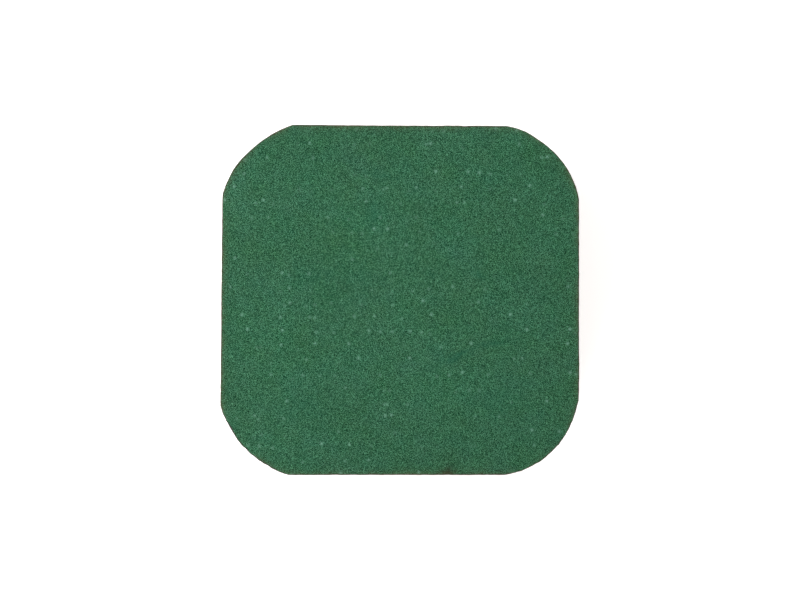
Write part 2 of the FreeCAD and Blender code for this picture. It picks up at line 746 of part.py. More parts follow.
def board_screw_placements():
    """Placements of the screws that hold the board down."""
    places = [board_post_screw(corner) for corner in CORNERS]
    for side in SIDES:
        places += [turned(side, x, y) for x, y in board_rail_screws(side)]
    return [placed(x, y, "Fits.board_top - Sizes.screw_head_sink") for x, y in places]


def foot_placements(level, turned_over=False):
    """Placements at each foot, at one level."""
    return [placed(*foot_place(corner), level, turned_over) for corner in CORNERS]


# ------------------------------------------------------------------ the whole block

def make_pieces():
    """Every piece of the block, each with the number of solids that it should have."""
    pieces = [
        (make_sheet_layer("tread_felt", "Fits.board_top + Sizes.bed_thickness",
                          "Sizes.felt_thickness"), 1),
        (make_sheet_layer("felt_adhesive", "Fits.board_top", "Sizes.bed_thickness"), 1),
        (make_top_board(), 1),
    ]
    pieces += [(make_rail(side), 1) for side in SIDES]
    pieces += [(make_post(corner), 1) for corner in CORNERS]
    pieces += [(make_slat(side, row), 1) for side in SIDES for row in range(len(SLAT_ROWS))]
    pieces += [(make_foot(corner), 1) for corner in CORNERS]
    wood_screw = make_wood_screw()
    for side in SIDES:
        placements = slat_screw_placements(side)
        pieces.append((make_group(f"{side}_slat_screws", wood_screw, placements), len(placements)))
    placements = board_screw_placements()
    pieces.append((make_group("top_board_screws", wood_screw, placements), len(placements)))
    washers = foot_placements("Sizes.foot_recess_depth")
    pieces.append((make_group("foot_washers", make_washer(), washers), len(washers)))
    screws = foot_placements("Fits.foot_head_level", turned_over=True)
    pieces.append((make_group("foot_screws", make_foot_screw(), screws), len(screws)))
    return pieces


def check(pieces):
    """Stop if any object failed, or any piece is empty, broken or in the wrong number."""
    for item in doc.Objects:
        if "Invalid" in item.State or "Error" in item.State:
            raise RuntimeError(f"{item.Name} failed: {item.State}")
    for piece, solids in pieces:
        shape = piece.Shape
        if shape.isNull() or not shape.isValid():
            raise RuntimeError(f"{piece.Label} has no valid shape")
        if len(shape.Solids) != solids:
            raise RuntimeError(f"{piece.Label} has {len(shape.Solids)} solids, not {solids}")


def write(pieces):
    """Write each piece to its own STEP file."""
    os.makedirs("parts", exist_ok=True)
    for piece, _ in pieces:
        piece.Shape.exportStep(f"parts/{piece.Label}.step")
        print(f"{piece.Label}: {piece.Shape.Volume / 1000:.1f} cm3")


block = make_pieces()
doc.recompute()
check(block)
write(block)
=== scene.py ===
"""Looks of a one-step wooden mounting block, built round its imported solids.

The tread is green mineral felt with a hand-cut edge, bedded in bitumen on a board of stained
plywood. Below it are stained softwood boards on a frame of posts and rails, held by plated screws,
and four moulded rubber feet. Lengths are in metres, and in millimetres where a name ends in _mm.
"""
import logging
import math
from dataclasses import dataclass, field
from enum import Enum, IntEnum
from functools import partial
from typing import Any, Callable, Mapping, Sequence

import bmesh
import bpy
import numpy as np
from mathutils import Matrix, Vector, noise


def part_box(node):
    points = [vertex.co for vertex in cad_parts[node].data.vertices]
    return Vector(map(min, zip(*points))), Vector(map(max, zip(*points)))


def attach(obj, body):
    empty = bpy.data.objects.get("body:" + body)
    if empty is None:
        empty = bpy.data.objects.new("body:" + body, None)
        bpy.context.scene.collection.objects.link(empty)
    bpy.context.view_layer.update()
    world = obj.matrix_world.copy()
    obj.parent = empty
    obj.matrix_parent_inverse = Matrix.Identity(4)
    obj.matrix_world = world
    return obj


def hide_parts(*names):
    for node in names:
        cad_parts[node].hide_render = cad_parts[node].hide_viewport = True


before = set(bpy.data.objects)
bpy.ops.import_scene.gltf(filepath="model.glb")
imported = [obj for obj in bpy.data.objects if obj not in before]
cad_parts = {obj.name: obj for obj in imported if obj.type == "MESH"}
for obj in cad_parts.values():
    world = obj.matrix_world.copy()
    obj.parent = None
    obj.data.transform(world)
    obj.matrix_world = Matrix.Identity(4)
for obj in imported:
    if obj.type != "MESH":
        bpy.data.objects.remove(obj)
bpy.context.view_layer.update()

LOG = logging.getLogger("mounting_block")
MM = 0.001
BODY = "root"
WELD = 0.004 * MM
CUT_WIDTH = 0.002 * MM
LEVEL_WITHIN = 0.01 * MM

# The two colour inputs of a Mix node, whose factor is input 0.
UNDER = 6
OVER = 7

AddNode = Callable[..., bpy.types.Node]
Stops = Sequence[tuple[float, str]]


class Side(Enum):
    """The four sides, in the order in which they are built."""

    FRONT = "front"
    RIGHT = "right"
    BACK = "back"
    LEFT = "left"


class Corner(Enum):
    """The four corners, in the order in which they are built."""

    FRONT_LEFT = "front_left"
    FRONT_RIGHT = "front_right"
    BACK_RIGHT = "back_right"
    BACK_LEFT = "back_left"


class Draw(IntEnum):
    """Seeds of the tread's and the trim line's random values."""

    GRIT = 5
    SLOW_STRAY = 11
    QUICK_STRAY = 12
    LONG_RIPPLE = 21
    SHORT_RIPPLE = 22
    DUST_PATCHES = 31
    DUST_SPECKS = 32
    SMEAR_SPECKS = 33


# ---------------------------------------------------------------- colour and nodes

def linear(hex_code: str) -> tuple[float, float, float, float]:
    """Turn an sRGB hex colour into linear light.

    Args:
        hex_code: Colour such as "#376749".

    Returns:
        Linear red, green and blue, and an alpha of one.
    """
    parts = [int(hex_code[i:i + 2], 16) / 255 for i in (1, 3, 5)]
    light = [p / 12.92 if p <= 0.04045 else ((p + 0.055) / 1.055) ** 2.4 for p in parts]
    return (light[0], light[1], light[2], 1.0)


def add_node(tree: bpy.types.NodeTree, kind: str, inputs: Mapping[str | int, Any] | None = None,
             **settings: Any) -> bpy.types.Node:
    """Add one node with its settings, its values and its links.

    Args:
        tree: Node tree that takes the node.
        kind: Blender's name for the kind of node, without its "ShaderNode".
        inputs: Value or source socket for each input, by name or number.
        **settings: Properties of the node itself. "stops" fills a colour ramp.

    Returns:
        The new node.
    """
    node = tree.nodes.new(f"ShaderNode{kind}")
    for name, value in settings.items():
        if name == "stops":
            fill_ramp(node.color_ramp, value)
        else:
            setattr(node, name, value)
    for key, value in (inputs or {}).items():
        if isinstance(value, bpy.types.NodeSocket):
            tree.links.new(value, node.inputs[key])
        else:
            node.inputs[key].default_value = value
    return node


def fill_ramp(ramp: bpy.types.ColorRamp, stops: Stops) -> None:
    """Give a colour ramp its stops.

    Args:
        ramp: The ramp, which has its two factory stops.
        stops: Place from 0 to 1 and hex colour of each stop, in order.
    """
    while len(ramp.elements) < len(stops):
        ramp.elements.new(1.0)
    for element, (place, hex_code) in zip(ramp.elements, stops):
        element.position = place
        element.color = linear(hex_code)


# ---------------------------------------------------------------- finishes

@dataclass(frozen=True)
class Finish:
    """A material and how its surface was made.

    Attributes:
        name: Name of the Blender material.
        slot: The record's material slot.
        roughness: Typical roughness of the surface.
        ior: Index of refraction.
        metallic: One for bare metal, else nought.
        gloss: Strength of the shader's reflections, lower where pores swallow them.
    """

    name: str
    slot: str
    roughness: float = 0.6
    ior: float = 1.5
    metallic: float = 0.0
    gloss: float = 0.5

    def material(self) -> bpy.types.Material:
        """Make the material, or return it if it is made.

        Returns:
            The finished Blender material.
        """
        found = bpy.data.materials.get(self.name)
        if found:
            return found
        made = bpy.data.materials.new(self.name)
        made.use_nodes = True
        tree = made.node_tree
        shader = next(n for n in tree.nodes if n.type == "BSDF_PRINCIPLED")
        shader.inputs["Roughness"].default_value = self.roughness
        shader.inputs["IOR"].default_value = self.ior
        shader.inputs["Metallic"].default_value = self.metallic
        shader.inputs["Specular IOR Level"].default_value = self.gloss
        self.paint(partial(add_node, tree), tree.links, shader)
        return made

    def paint(self, add: AddNode, links: bpy.types.NodeLinks, shader: bpy.types.Node) -> None:
        """Add the nodes of colour, roughness and relief. Each finish has its own.

        Args:
            add: Adds a node to the material.
            links: The material's links.
            shader: Its surface shader.
        """
        raise NotImplementedError

    def dress(self, piece: bpy.types.Object) -> None:
        """Put the finish on a whole piece."""
        piece.data.materials.clear()
        piece.data.materials.append(self.material())


@dataclass(frozen=True)
class GranuleFelt(Finish):
    """Mineral roofing felt, with slate granules rolled into hot bitumen.

    Each granule has its own tone of green and no gloss, so the sheet looks like fine even grit.
    Batches of granules differ a little in hue, and where a bruised one lies there is a pale fleck.

    Attributes:
        granule_mm: Width of a granule, of the finest grade.
        tones: Granule colours, from dark to pale.
        batch_mm: Width of the widest patch of one batch.
        batch_hue: How far a batch moves the hue to either side.
        batch_wash: How far a batch's saturation goes to either side.
        fade: How much paler or darker the widest patches are.
        fleck_spacing_mm: Distance from fleck to fleck.
        fleck_mm: Half width of a fleck.
        ragged_mm: How far a fleck's edge is torn from its circle.
        fleck_colour: Bruised slate.
        dust_colour: Brown dust along the cut edge.
        damp_colour: Granules that stay damp.
        grime_and_shade_colour: Trodden-in grime, and the painted shade that darkens the tread along its
            right and front edges.
        relief_mm: Height of a granule over the bitumen.
    """

    granule_mm: float = 0.36
    tones: Stops = ((0.0, "#02180a"), (0.55, "#093e26"), (1.0, "#5d9c76"))
    batch_mm: float = 42.0
    batch_hue: float = 0.013
    batch_wash: float = 0.05
    fade: float = 0.045
    fleck_spacing_mm: float = 16.0
    fleck_mm: float = 2.5
    ragged_mm: float = 7.0
    fleck_colour: str = "#6d9c86"
    dust_colour: str = "#5c4b33"
    damp_colour: str = "#18503c"
    # This colour also paints the shade along the tread's right and front edges.
    grime_and_shade_colour: str = "#1d2017"
    relief_mm: float = 0.35

    def flecks(self, add: AddNode, place: bpy.types.NodeSocket, granule: bpy.types.NodeSocket,
               slow: bpy.types.NodeSocket) -> bpy.types.NodeSocket:
        """Add pale flecks with torn edges, in loose drifts.

        Args:
            add: Adds a node to the material.
            place: Place on the sheet, in metres.
            granule: A chance value for each granule, from 0 to 1.
            slow: Noise that says where drifts lie, from 0 to 1.

        Returns:
            How bruised a granule is, from 0 to 1.
        """
        ragged = add("TexNoise", {"Vector": place, "Scale": 1 / (2 * MM), "Detail": 4.0,
                                  "Roughness": 0.8})
        shift = add("VectorMath", {0: ragged.outputs["Color"], 1: (0.5, 0.5, 0.5)},
                    operation="SUBTRACT")
        tear = (self.ragged_mm * MM,) * 3
        shifted = add("VectorMath", {0: shift.outputs[0], 1: tear, 2: place},
                      operation="MULTIPLY_ADD")
        spots = add("TexVoronoi", {"Vector": shifted.outputs[0],
                                   "Scale": 1 / (self.fleck_spacing_mm * MM)},
                    voronoi_dimensions="2D")
        near = add("MapRange", {"Value": spots.outputs["Distance"], "From Min": 0.0,
                                "From Max": self.fleck_mm / self.fleck_spacing_mm,
                                "To Min": 0.75, "To Max": 0.0})
        picked = add("SeparateColor", {"Color": spots.outputs["Color"]})
        often = add("MapRange", {"Value": slow, "From Min": 0.35,
                                 "From Max": 0.65, "To Min": 0.85, "To Max": 0.35})
        some = add("MapRange", {"Value": picked.outputs["Green"],
                                "From Min": often.outputs["Result"], "From Max": 1.0})
        spread = add("Math", {0: near.outputs["Result"], 1: some.outputs["Result"]},
                     operation="MULTIPLY")
        bruised = add("MapRange", {"Value": granule, "From Min": 0.0,
                                   "From Max": 1.0, "To Min": 0.25, "To Max": 1.75})
        return add("Math", {0: spread.outputs[0], 1: bruised.outputs["Result"]},
                   operation="MULTIPLY", use_clamp=True).outputs[0]

    def paint(self, add: AddNode, links: bpy.types.NodeLinks, shader: bpy.types.Node) -> None:
        """Granule tones, batches, flecks, dust at the cut edge, damp smears, and grit relief.

        Args:
            add: Adds a node to the material.
            links: The material's links.
            shader: Its surface shader.
        """
        place = add("TexCoord").outputs["Object"]
        granules = add("TexVoronoi", {"Vector": place, "Scale": 1 / (self.granule_mm * MM)})
        chance = add("SeparateColor", {"Color": granules.outputs["Color"]})
        tone = add("ValToRGB", {"Fac": chance.outputs["Red"]}, stops=self.tones)

        batch = add("TexNoise", {"Vector": place, "Scale": 1 / (self.batch_mm * MM),
                                 "Detail": 4.0, "Roughness": 0.8})
        parts = add("SeparateColor", {"Color": batch.outputs["Color"]})
        hue = add("MapRange", {"Value": parts.outputs["Red"], "From Min": 0.25, "From Max": 0.75,
                               "To Min": 0.5 - self.batch_hue, "To Max": 0.5 + self.batch_hue})
        wash = add("MapRange", {"Value": parts.outputs["Blue"], "From Min": 0.25,
                                "From Max": 0.75, "To Min": 1 - self.batch_wash,
                                "To Max": 1 + self.batch_wash})
        slow = add("TexNoise", {"Vector": place, "Scale": 1 / (2 * self.batch_mm * MM),
                                "Detail": 2.0})
        light = add("MapRange", {"Value": slow.outputs["Fac"], "From Min": 0.3, "From Max": 0.7,
                                 "To Min": 1 - self.fade, "To Max": 1 + self.fade})
        mixed = add("HueSaturation", {"Hue": hue.outputs["Result"],
                                      "Saturation": wash.outputs["Result"],
                                      "Value": light.outputs["Result"],
                                      "Color": tone.outputs["Color"]})

        fleck = self.flecks(add, place, chance.outputs["Green"], slow.outputs["Fac"])
        flecked = add("Mix", {0: fleck, UNDER: mixed.outputs["Color"],
                              OVER: linear(self.fleck_colour)}, data_type="RGBA")

        surface = flecked.outputs[2]
        # The grime mark also carries painted shade: broad darker bands along the tread's right and
        # front edges.
        for mark, colour in (("damp", self.damp_colour), ("dirt", self.grime_and_shade_colour),
                             ("dust", self.dust_colour)):
            amount = add("Attribute", attribute_name=mark)
            surface = add("Mix", {0: amount.outputs["Fac"], UNDER: surface, OVER: linear(colour)},
                          data_type="RGBA").outputs[2]
        links.new(surface, shader.inputs["Base Color"])

        dome = add("MapRange", {"Value": granules.outputs["Distance"], "From Min": 0.0,
                                "From Max": 0.7, "To Min": 1.0, "To Max": 0.0})
        bump = add("Bump", {"Height": dome.outputs["Result"], "Strength": 0.6,
                            "Distance": self.relief_mm * MM})
        links.new(bump.outputs["Normal"], shader.inputs["Normal"])


@dataclass(frozen=True)
class Bitumen(Finish):
    """Oxidised bitumen, knife-cut or trowelled.

    It is near black and slightly greasy where it is fresh, and dusty brown where it has aged.

    Attributes:
        fresh: Colour of clean bitumen.
        dusty: Colour under dust.
        dust_mm: Width of a dusty patch.
        relief_mm: Height of the lumps.
    """

    fresh: str = "#1b1815"
    dusty: str = "#3b3127"
    dust_mm: float = 2.5
    relief_mm: float = 0.4

    def paint(self, add: AddNode, links: bpy.types.NodeLinks, shader: bpy.types.Node) -> None:
        """Dust over black, on a torn and slightly lumpy face.

        Args:
            add: Adds a node to the material.
            links: The material's links.
            shader: Its surface shader.
        """
        place = add("TexCoord").outputs["Object"]
        dust = add("TexNoise", {"Vector": place, "Scale": 1 / (self.dust_mm * MM), "Detail": 4.0})
        colour = add("ValToRGB", {"Fac": dust.outputs["Fac"]},
                     stops=((0.42, self.fresh), (0.8, self.dusty)))
        links.new(colour.outputs["Color"], shader.inputs["Base Color"])
        bump = add("Bump", {"Height": dust.outputs["Fac"], "Strength": 0.8,
                            "Distance": self.relief_mm * MM})
        links.new(bump.outputs["Normal"], shader.inputs["Normal"])


@dataclass(frozen=True)
class Grain:
    """A board's own axes in a material, and noise that runs with its grain.

    Attributes:
        add: Adds a node to the material.
        place: Place along, across and through the board, in millimetres.
        lot: Shift of the patterns, which differs from board to board.
    """

    add: AddNode
    place: bpy.types.NodeSocket
    lot: bpy.types.NodeSocket

    def cells(self, width_mm: tuple[float, float, float]) -> bpy.types.NodeSocket:
        """Count places in cells.

        Args:
            width_mm: Widths of a cell along, across and through the board.

        Returns:
            The place as a number of cells each way.
        """
        scale = tuple(1 / w for w in width_mm)
        return self.add("VectorMath", {0: self.place, 1: scale, 2: self.lot},
                        operation="MULTIPLY_ADD").outputs[0]

    def noise(self, width_mm: tuple[float, float, float],
              detail: float) -> bpy.types.NodeSocket:
        """Add noise.

        Args:
            width_mm: Widths of its features along, across and through the board.
            detail: How many finer layers it has.

        Returns:
            The noise, from 0 to 1.
        """
        return self.add("TexNoise", {"Vector": self.cells(width_mm), "Scale": 1.0,
                                     "Detail": detail, "Roughness": 0.55}).outputs["Fac"]


@dataclass(frozen=True)
class StainedPine(Finish):
    """Planed pine under a brushed spirit stain.

    The growth rings are cut as they lie round the log's pith, so a wide face shows arches, a
    narrow one shows straight lines and an end shows arcs. Soft early wood drinks the stain, late
    wood stands a little proud of it, and arrises are rubbed back to paler wood.

    Attributes:
        early: Colour of early wood.
        late: Colour of late wood.
        knot: Colour of a knot's heart.
        bark: Bark shut in round a knot.
        check: Bottom of a drying check.
        rubbed: Bare wood at a worn arris.
        mud: Dried mud, splashed on near the ground.
        ring_mm: Width of one year's growth.
        knot_ring_mm: Half the width of one year's growth in a knot.
        knot_mm: Radius of the largest knot.
        sway_mm: How far the rings stray from true circles.
        fibre_mm: Width of a visible bundle of fibres, drawn as coarse as it needs to show.
        knot_spacing_mm: Distance from knot to knot along, across and through a board.
        splash_mm: Width of a splash of mud.
        splash_height_mm: How high mud splashes.
        relief_mm: Height of late wood over early wood.
    """

    early: str = "#855733"
    late: str = "#4f2e19"
    knot: str = "#432413"
    bark: str = "#1d100a"
    check: str = "#140b06"
    rubbed: str = "#b08a5e"
    mud: str = "#7f6a4c"
    ring_mm: float = 4.4
    knot_ring_mm: float = 0.9
    knot_mm: float = 10.0
    sway_mm: float = 11.0
    fibre_mm: float = 1.1
    knot_spacing_mm: tuple[float, float, float] = (150.0, 75.0, 400.0)
    splash_mm: float = 18.2
    splash_height_mm: float = 150.0
    relief_mm: float = 0.22

    def knots(self, grain: Grain) -> tuple[bpy.types.NodeSocket, ...]:
        """Add the knots. A knot is a branch, so it goes straight through the board.

        Args:
            grain: The board's grain.

        Returns:
            Where a knot is, from 0 to 1, its colour, and how far the rings bend round it.
        """
        add = grain.add
        cells = grain.cells(self.knot_spacing_mm)
        knots = add("TexVoronoi", {"Vector": cells, "Scale": 1.0})
        apart = add("VectorMath", {0: cells, 1: knots.outputs["Position"]}, operation="SUBTRACT")
        flat = add("VectorMath", {0: apart.outputs[0], 1: (*self.knot_spacing_mm[:2], 0.0)},
                   operation="MULTIPLY")
        wobble = add("MapRange", {"Value": grain.noise((9.0, 9.0, 30.0), 2.0), "To Min": -2.0,
                                  "To Max": 2.0})
        straight = add("VectorMath", {0: flat.outputs[0]}, operation="LENGTH")
        reach = add("Math", {0: straight.outputs["Value"], 1: wobble.outputs["Result"]},
                    operation="ADD")
        chance = add("SeparateColor", {"Color": knots.outputs["Color"]})
        radius = add("MapRange", {"Value": chance.outputs["Red"], "From Min": 0.45,
                                  "From Max": 1.0, "To Min": 0.01, "To Max": self.knot_mm})
        share = add("Math", {0: reach.outputs[0], 1: radius.outputs["Result"]},
                    operation="DIVIDE")
        heart = add("MapRange", {"Value": share.outputs[0], "From Min": 0.95, "From Max": 1.2,
                                 "To Min": 1.0, "To Max": 0.0}, interpolation_type="SMOOTHSTEP")
        bark = add("MapRange", {"Value": share.outputs[0], "From Min": 0.7, "From Max": 0.98},
                   interpolation_type="SMOOTHSTEP")
        years = add("Math", {0: reach.outputs[0], 1: self.knot_ring_mm}, operation="PINGPONG")
        season = add("Math", {0: years.outputs[0], 1: 0.55 / self.knot_ring_mm},
                     operation="MULTIPLY")
        branch = add("Mix", {0: season.outputs[0], UNDER: linear(self.knot), OVER: linear(self.late)},
                     data_type="RGBA")
        barked = add("Mix", {0: bark.outputs["Result"], UNDER: branch.outputs[2],
                             OVER: linear(self.bark)}, data_type="RGBA")
        near = add("MapRange", {"Value": share.outputs[0], "From Min": 0.0, "From Max": 4.0,
                                "To Min": 1.0, "To Max": 0.0}, interpolation_type="SMOOTHSTEP")
        swell = add("Math", {0: near.outputs["Result"], 1: radius.outputs["Result"]},
                    operation="MULTIPLY")
        return heart.outputs["Result"], barked.outputs[2], swell.outputs[0]

    def rings(self, grain: Grain, swell: bpy.types.NodeSocket) -> bpy.types.NodeSocket:
        """Add the growth rings, round a pith that leans a little along the board.

        Args:
            grain: The board's grain.
            swell: How far the rings bend round a knot, in millimetres.

        Returns:
            How late in the year the wood grew, from 0 to 1.
        """
        add = grain.add
        pith = add("SeparateXYZ", {0: add("Attribute", attribute_name="pith").outputs["Vector"]})
        spot = add("SeparateXYZ", {0: grain.place})
        across = add("Math", {0: spot.outputs["Y"], 1: pith.outputs["X"]}, operation="SUBTRACT")
        lean = add("Math", {0: spot.outputs["X"], 1: pith.outputs["Z"], 2: pith.outputs["Y"]},
                   operation="MULTIPLY_ADD")
        deep = add("Math", {0: spot.outputs["Z"], 1: lean.outputs[0]}, operation="SUBTRACT")
        from_pith = add("CombineXYZ", {0: across.outputs[0], 1: deep.outputs[0]})
        distance = add("VectorMath", {0: from_pith.outputs[0]}, operation="LENGTH")
        sway = add("MapRange", {"Value": grain.noise((260.0, 45.0, 45.0), 3.0),
                                "To Min": -self.sway_mm, "To Max": self.sway_mm})
        swayed = add("Math", {0: distance.outputs["Value"], 1: sway.outputs["Result"]},
                     operation="ADD")
        grown = add("Math", {0: swayed.outputs[0], 1: swell}, operation="ADD")
        years = add("Math", {0: grown.outputs[0], 1: self.ring_mm}, operation="DIVIDE")
        season = add("Math", {0: years.outputs[0]}, operation="FRACT")
        ring = add("ValToRGB", {"Fac": season.outputs[0]},
                   stops=((0.0, "#202020"), (0.12, "#000000"), (0.5, "#3c3c3c"),
                          (0.82, "#d8d8d8"), (0.94, "#ffffff"), (1.0, "#202020")))
        return ring.outputs["Color"]

    def checks(self, grain: Grain) -> bpy.types.NodeSocket:
        """Add drying checks: thin dark lines along the fibres, in a few places only.

        Args:
            grain: The board's grain.

        Returns:
            Where a check is, from 0 to 1.
        """
        add = grain.add
        off_thread = add("Math", {0: grain.noise((420.0, 7.0, 9.0), 2.0), 1: 0.5},
                         operation="SUBTRACT")
        gap = add("Math", {0: off_thread.outputs[0]}, operation="ABSOLUTE")
        line = add("MapRange", {"Value": gap.outputs[0], "From Min": 0.0, "From Max": 0.006,
                                "To Min": 1.0, "To Max": 0.0})
        where = add("MapRange", {"Value": grain.noise((150.0, 25.0, 60.0), 1.0),
                                 "From Min": 0.58, "From Max": 0.7})
        return add("Math", {0: line.outputs["Result"], 1: where.outputs["Result"]},
                   operation="MULTIPLY").outputs[0]

    def splashes(self, add: AddNode) -> bpy.types.NodeSocket:
        """Add mud where it was splashed and dried, thickest by the ground.

        Args:
            add: Adds a node to the material.

        Returns:
            How much mud there is, from 0 to 1.
        """
        place = add("TexCoord").outputs["Object"]
        height = add("SeparateXYZ", {0: place})
        low = add("MapRange", {"Value": height.outputs["Z"], "From Min": 20 * MM,
                               "From Max": self.splash_height_mm * MM, "To Min": 0.55,
                               "To Max": 0.0})
        spatter = add("TexNoise", {"Vector": place, "Scale": 1 / (self.splash_mm * MM),
                                   "Detail": 6.0, "Roughness": 0.65})
        spots = add("MapRange", {"Value": spatter.outputs["Fac"], "From Min": 0.48,
                                 "From Max": 0.66})
        return add("Math", {0: low.outputs["Result"], 1: spots.outputs["Result"]},
                   operation="MULTIPLY").outputs[0]

    def paint(self, add: AddNode, links: bpy.types.NodeLinks, shader: bpy.types.Node) -> None:
        """Rings, fibres, knots, checks, blotches, rubbed arrises and mud.

        Args:
            add: Adds a node to the material.
            links: The material's links.
            shader: Its surface shader.
        """
        grain = Grain(add, add("Attribute", attribute_name="grain").outputs["Vector"],
                      add("Attribute", attribute_name="lot").outputs["Vector"])
        in_knot, knot_colour, swell = self.knots(grain)
        ring = self.rings(grain, swell)
        check = self.checks(grain)

        fibre = grain.noise((70.0, self.fibre_mm, self.fibre_mm), 3.0)
        wood = add("Mix", {0: ring, UNDER: linear(self.early), OVER: linear(self.late)},
                   data_type="RGBA")
        streak = add("MapRange", {"Value": fibre, "From Min": 0.25, "From Max": 0.75,
                                  "To Min": 0.72, "To Max": 1.22})
        blotch = add("MapRange", {"Value": grain.noise((120.0, 40.0, 40.0), 3.0),
                                  "From Min": 0.25, "From Max": 0.75, "To Min": 0.74,
                                  "To Max": 1.2})
        tone = add("Attribute", attribute_name="tone")
        shade = add("Math", {0: streak.outputs["Result"], 1: blotch.outputs["Result"]},
                    operation="MULTIPLY")
        toned = add("Math", {0: shade.outputs[0], 1: tone.outputs["Fac"]}, operation="MULTIPLY")
        stained = add("HueSaturation", {"Value": toned.outputs[0], "Color": wood.outputs[2]})
        worn = add("Attribute", attribute_name="wear")
        rub = add("Math", {0: worn.outputs["Fac"], 1: streak.outputs["Result"]},
                  operation="MULTIPLY", use_clamp=True)

        surface = stained.outputs["Color"]
        for amount, colour in ((in_knot, knot_colour), (check, linear(self.check)),
                               (rub.outputs[0], linear(self.rubbed)),
                               (self.splashes(add), linear(self.mud))):
            surface = add("Mix", {0: amount, UNDER: surface, OVER: colour}, data_type="RGBA").outputs[2]
        links.new(surface, shader.inputs["Base Color"])

        sheen = add("MapRange", {"Value": fibre, "To Min": self.roughness - 0.1,
                                 "To Max": self.roughness + 0.15})
        links.new(sheen.outputs["Result"], shader.inputs["Roughness"])
        ridge = add("Math", {0: fibre, 1: 0.6, 2: ring}, operation="MULTIPLY_ADD")
        split = add("Math", {0: check, 1: -3.0, 2: ridge.outputs[0]}, operation="MULTIPLY_ADD")
        bump = add("Bump", {"Height": split.outputs[0], "Strength": 0.6,
                            "Distance": self.relief_mm * MM})
        links.new(bump.outputs["Normal"], shader.inputs["Normal"])


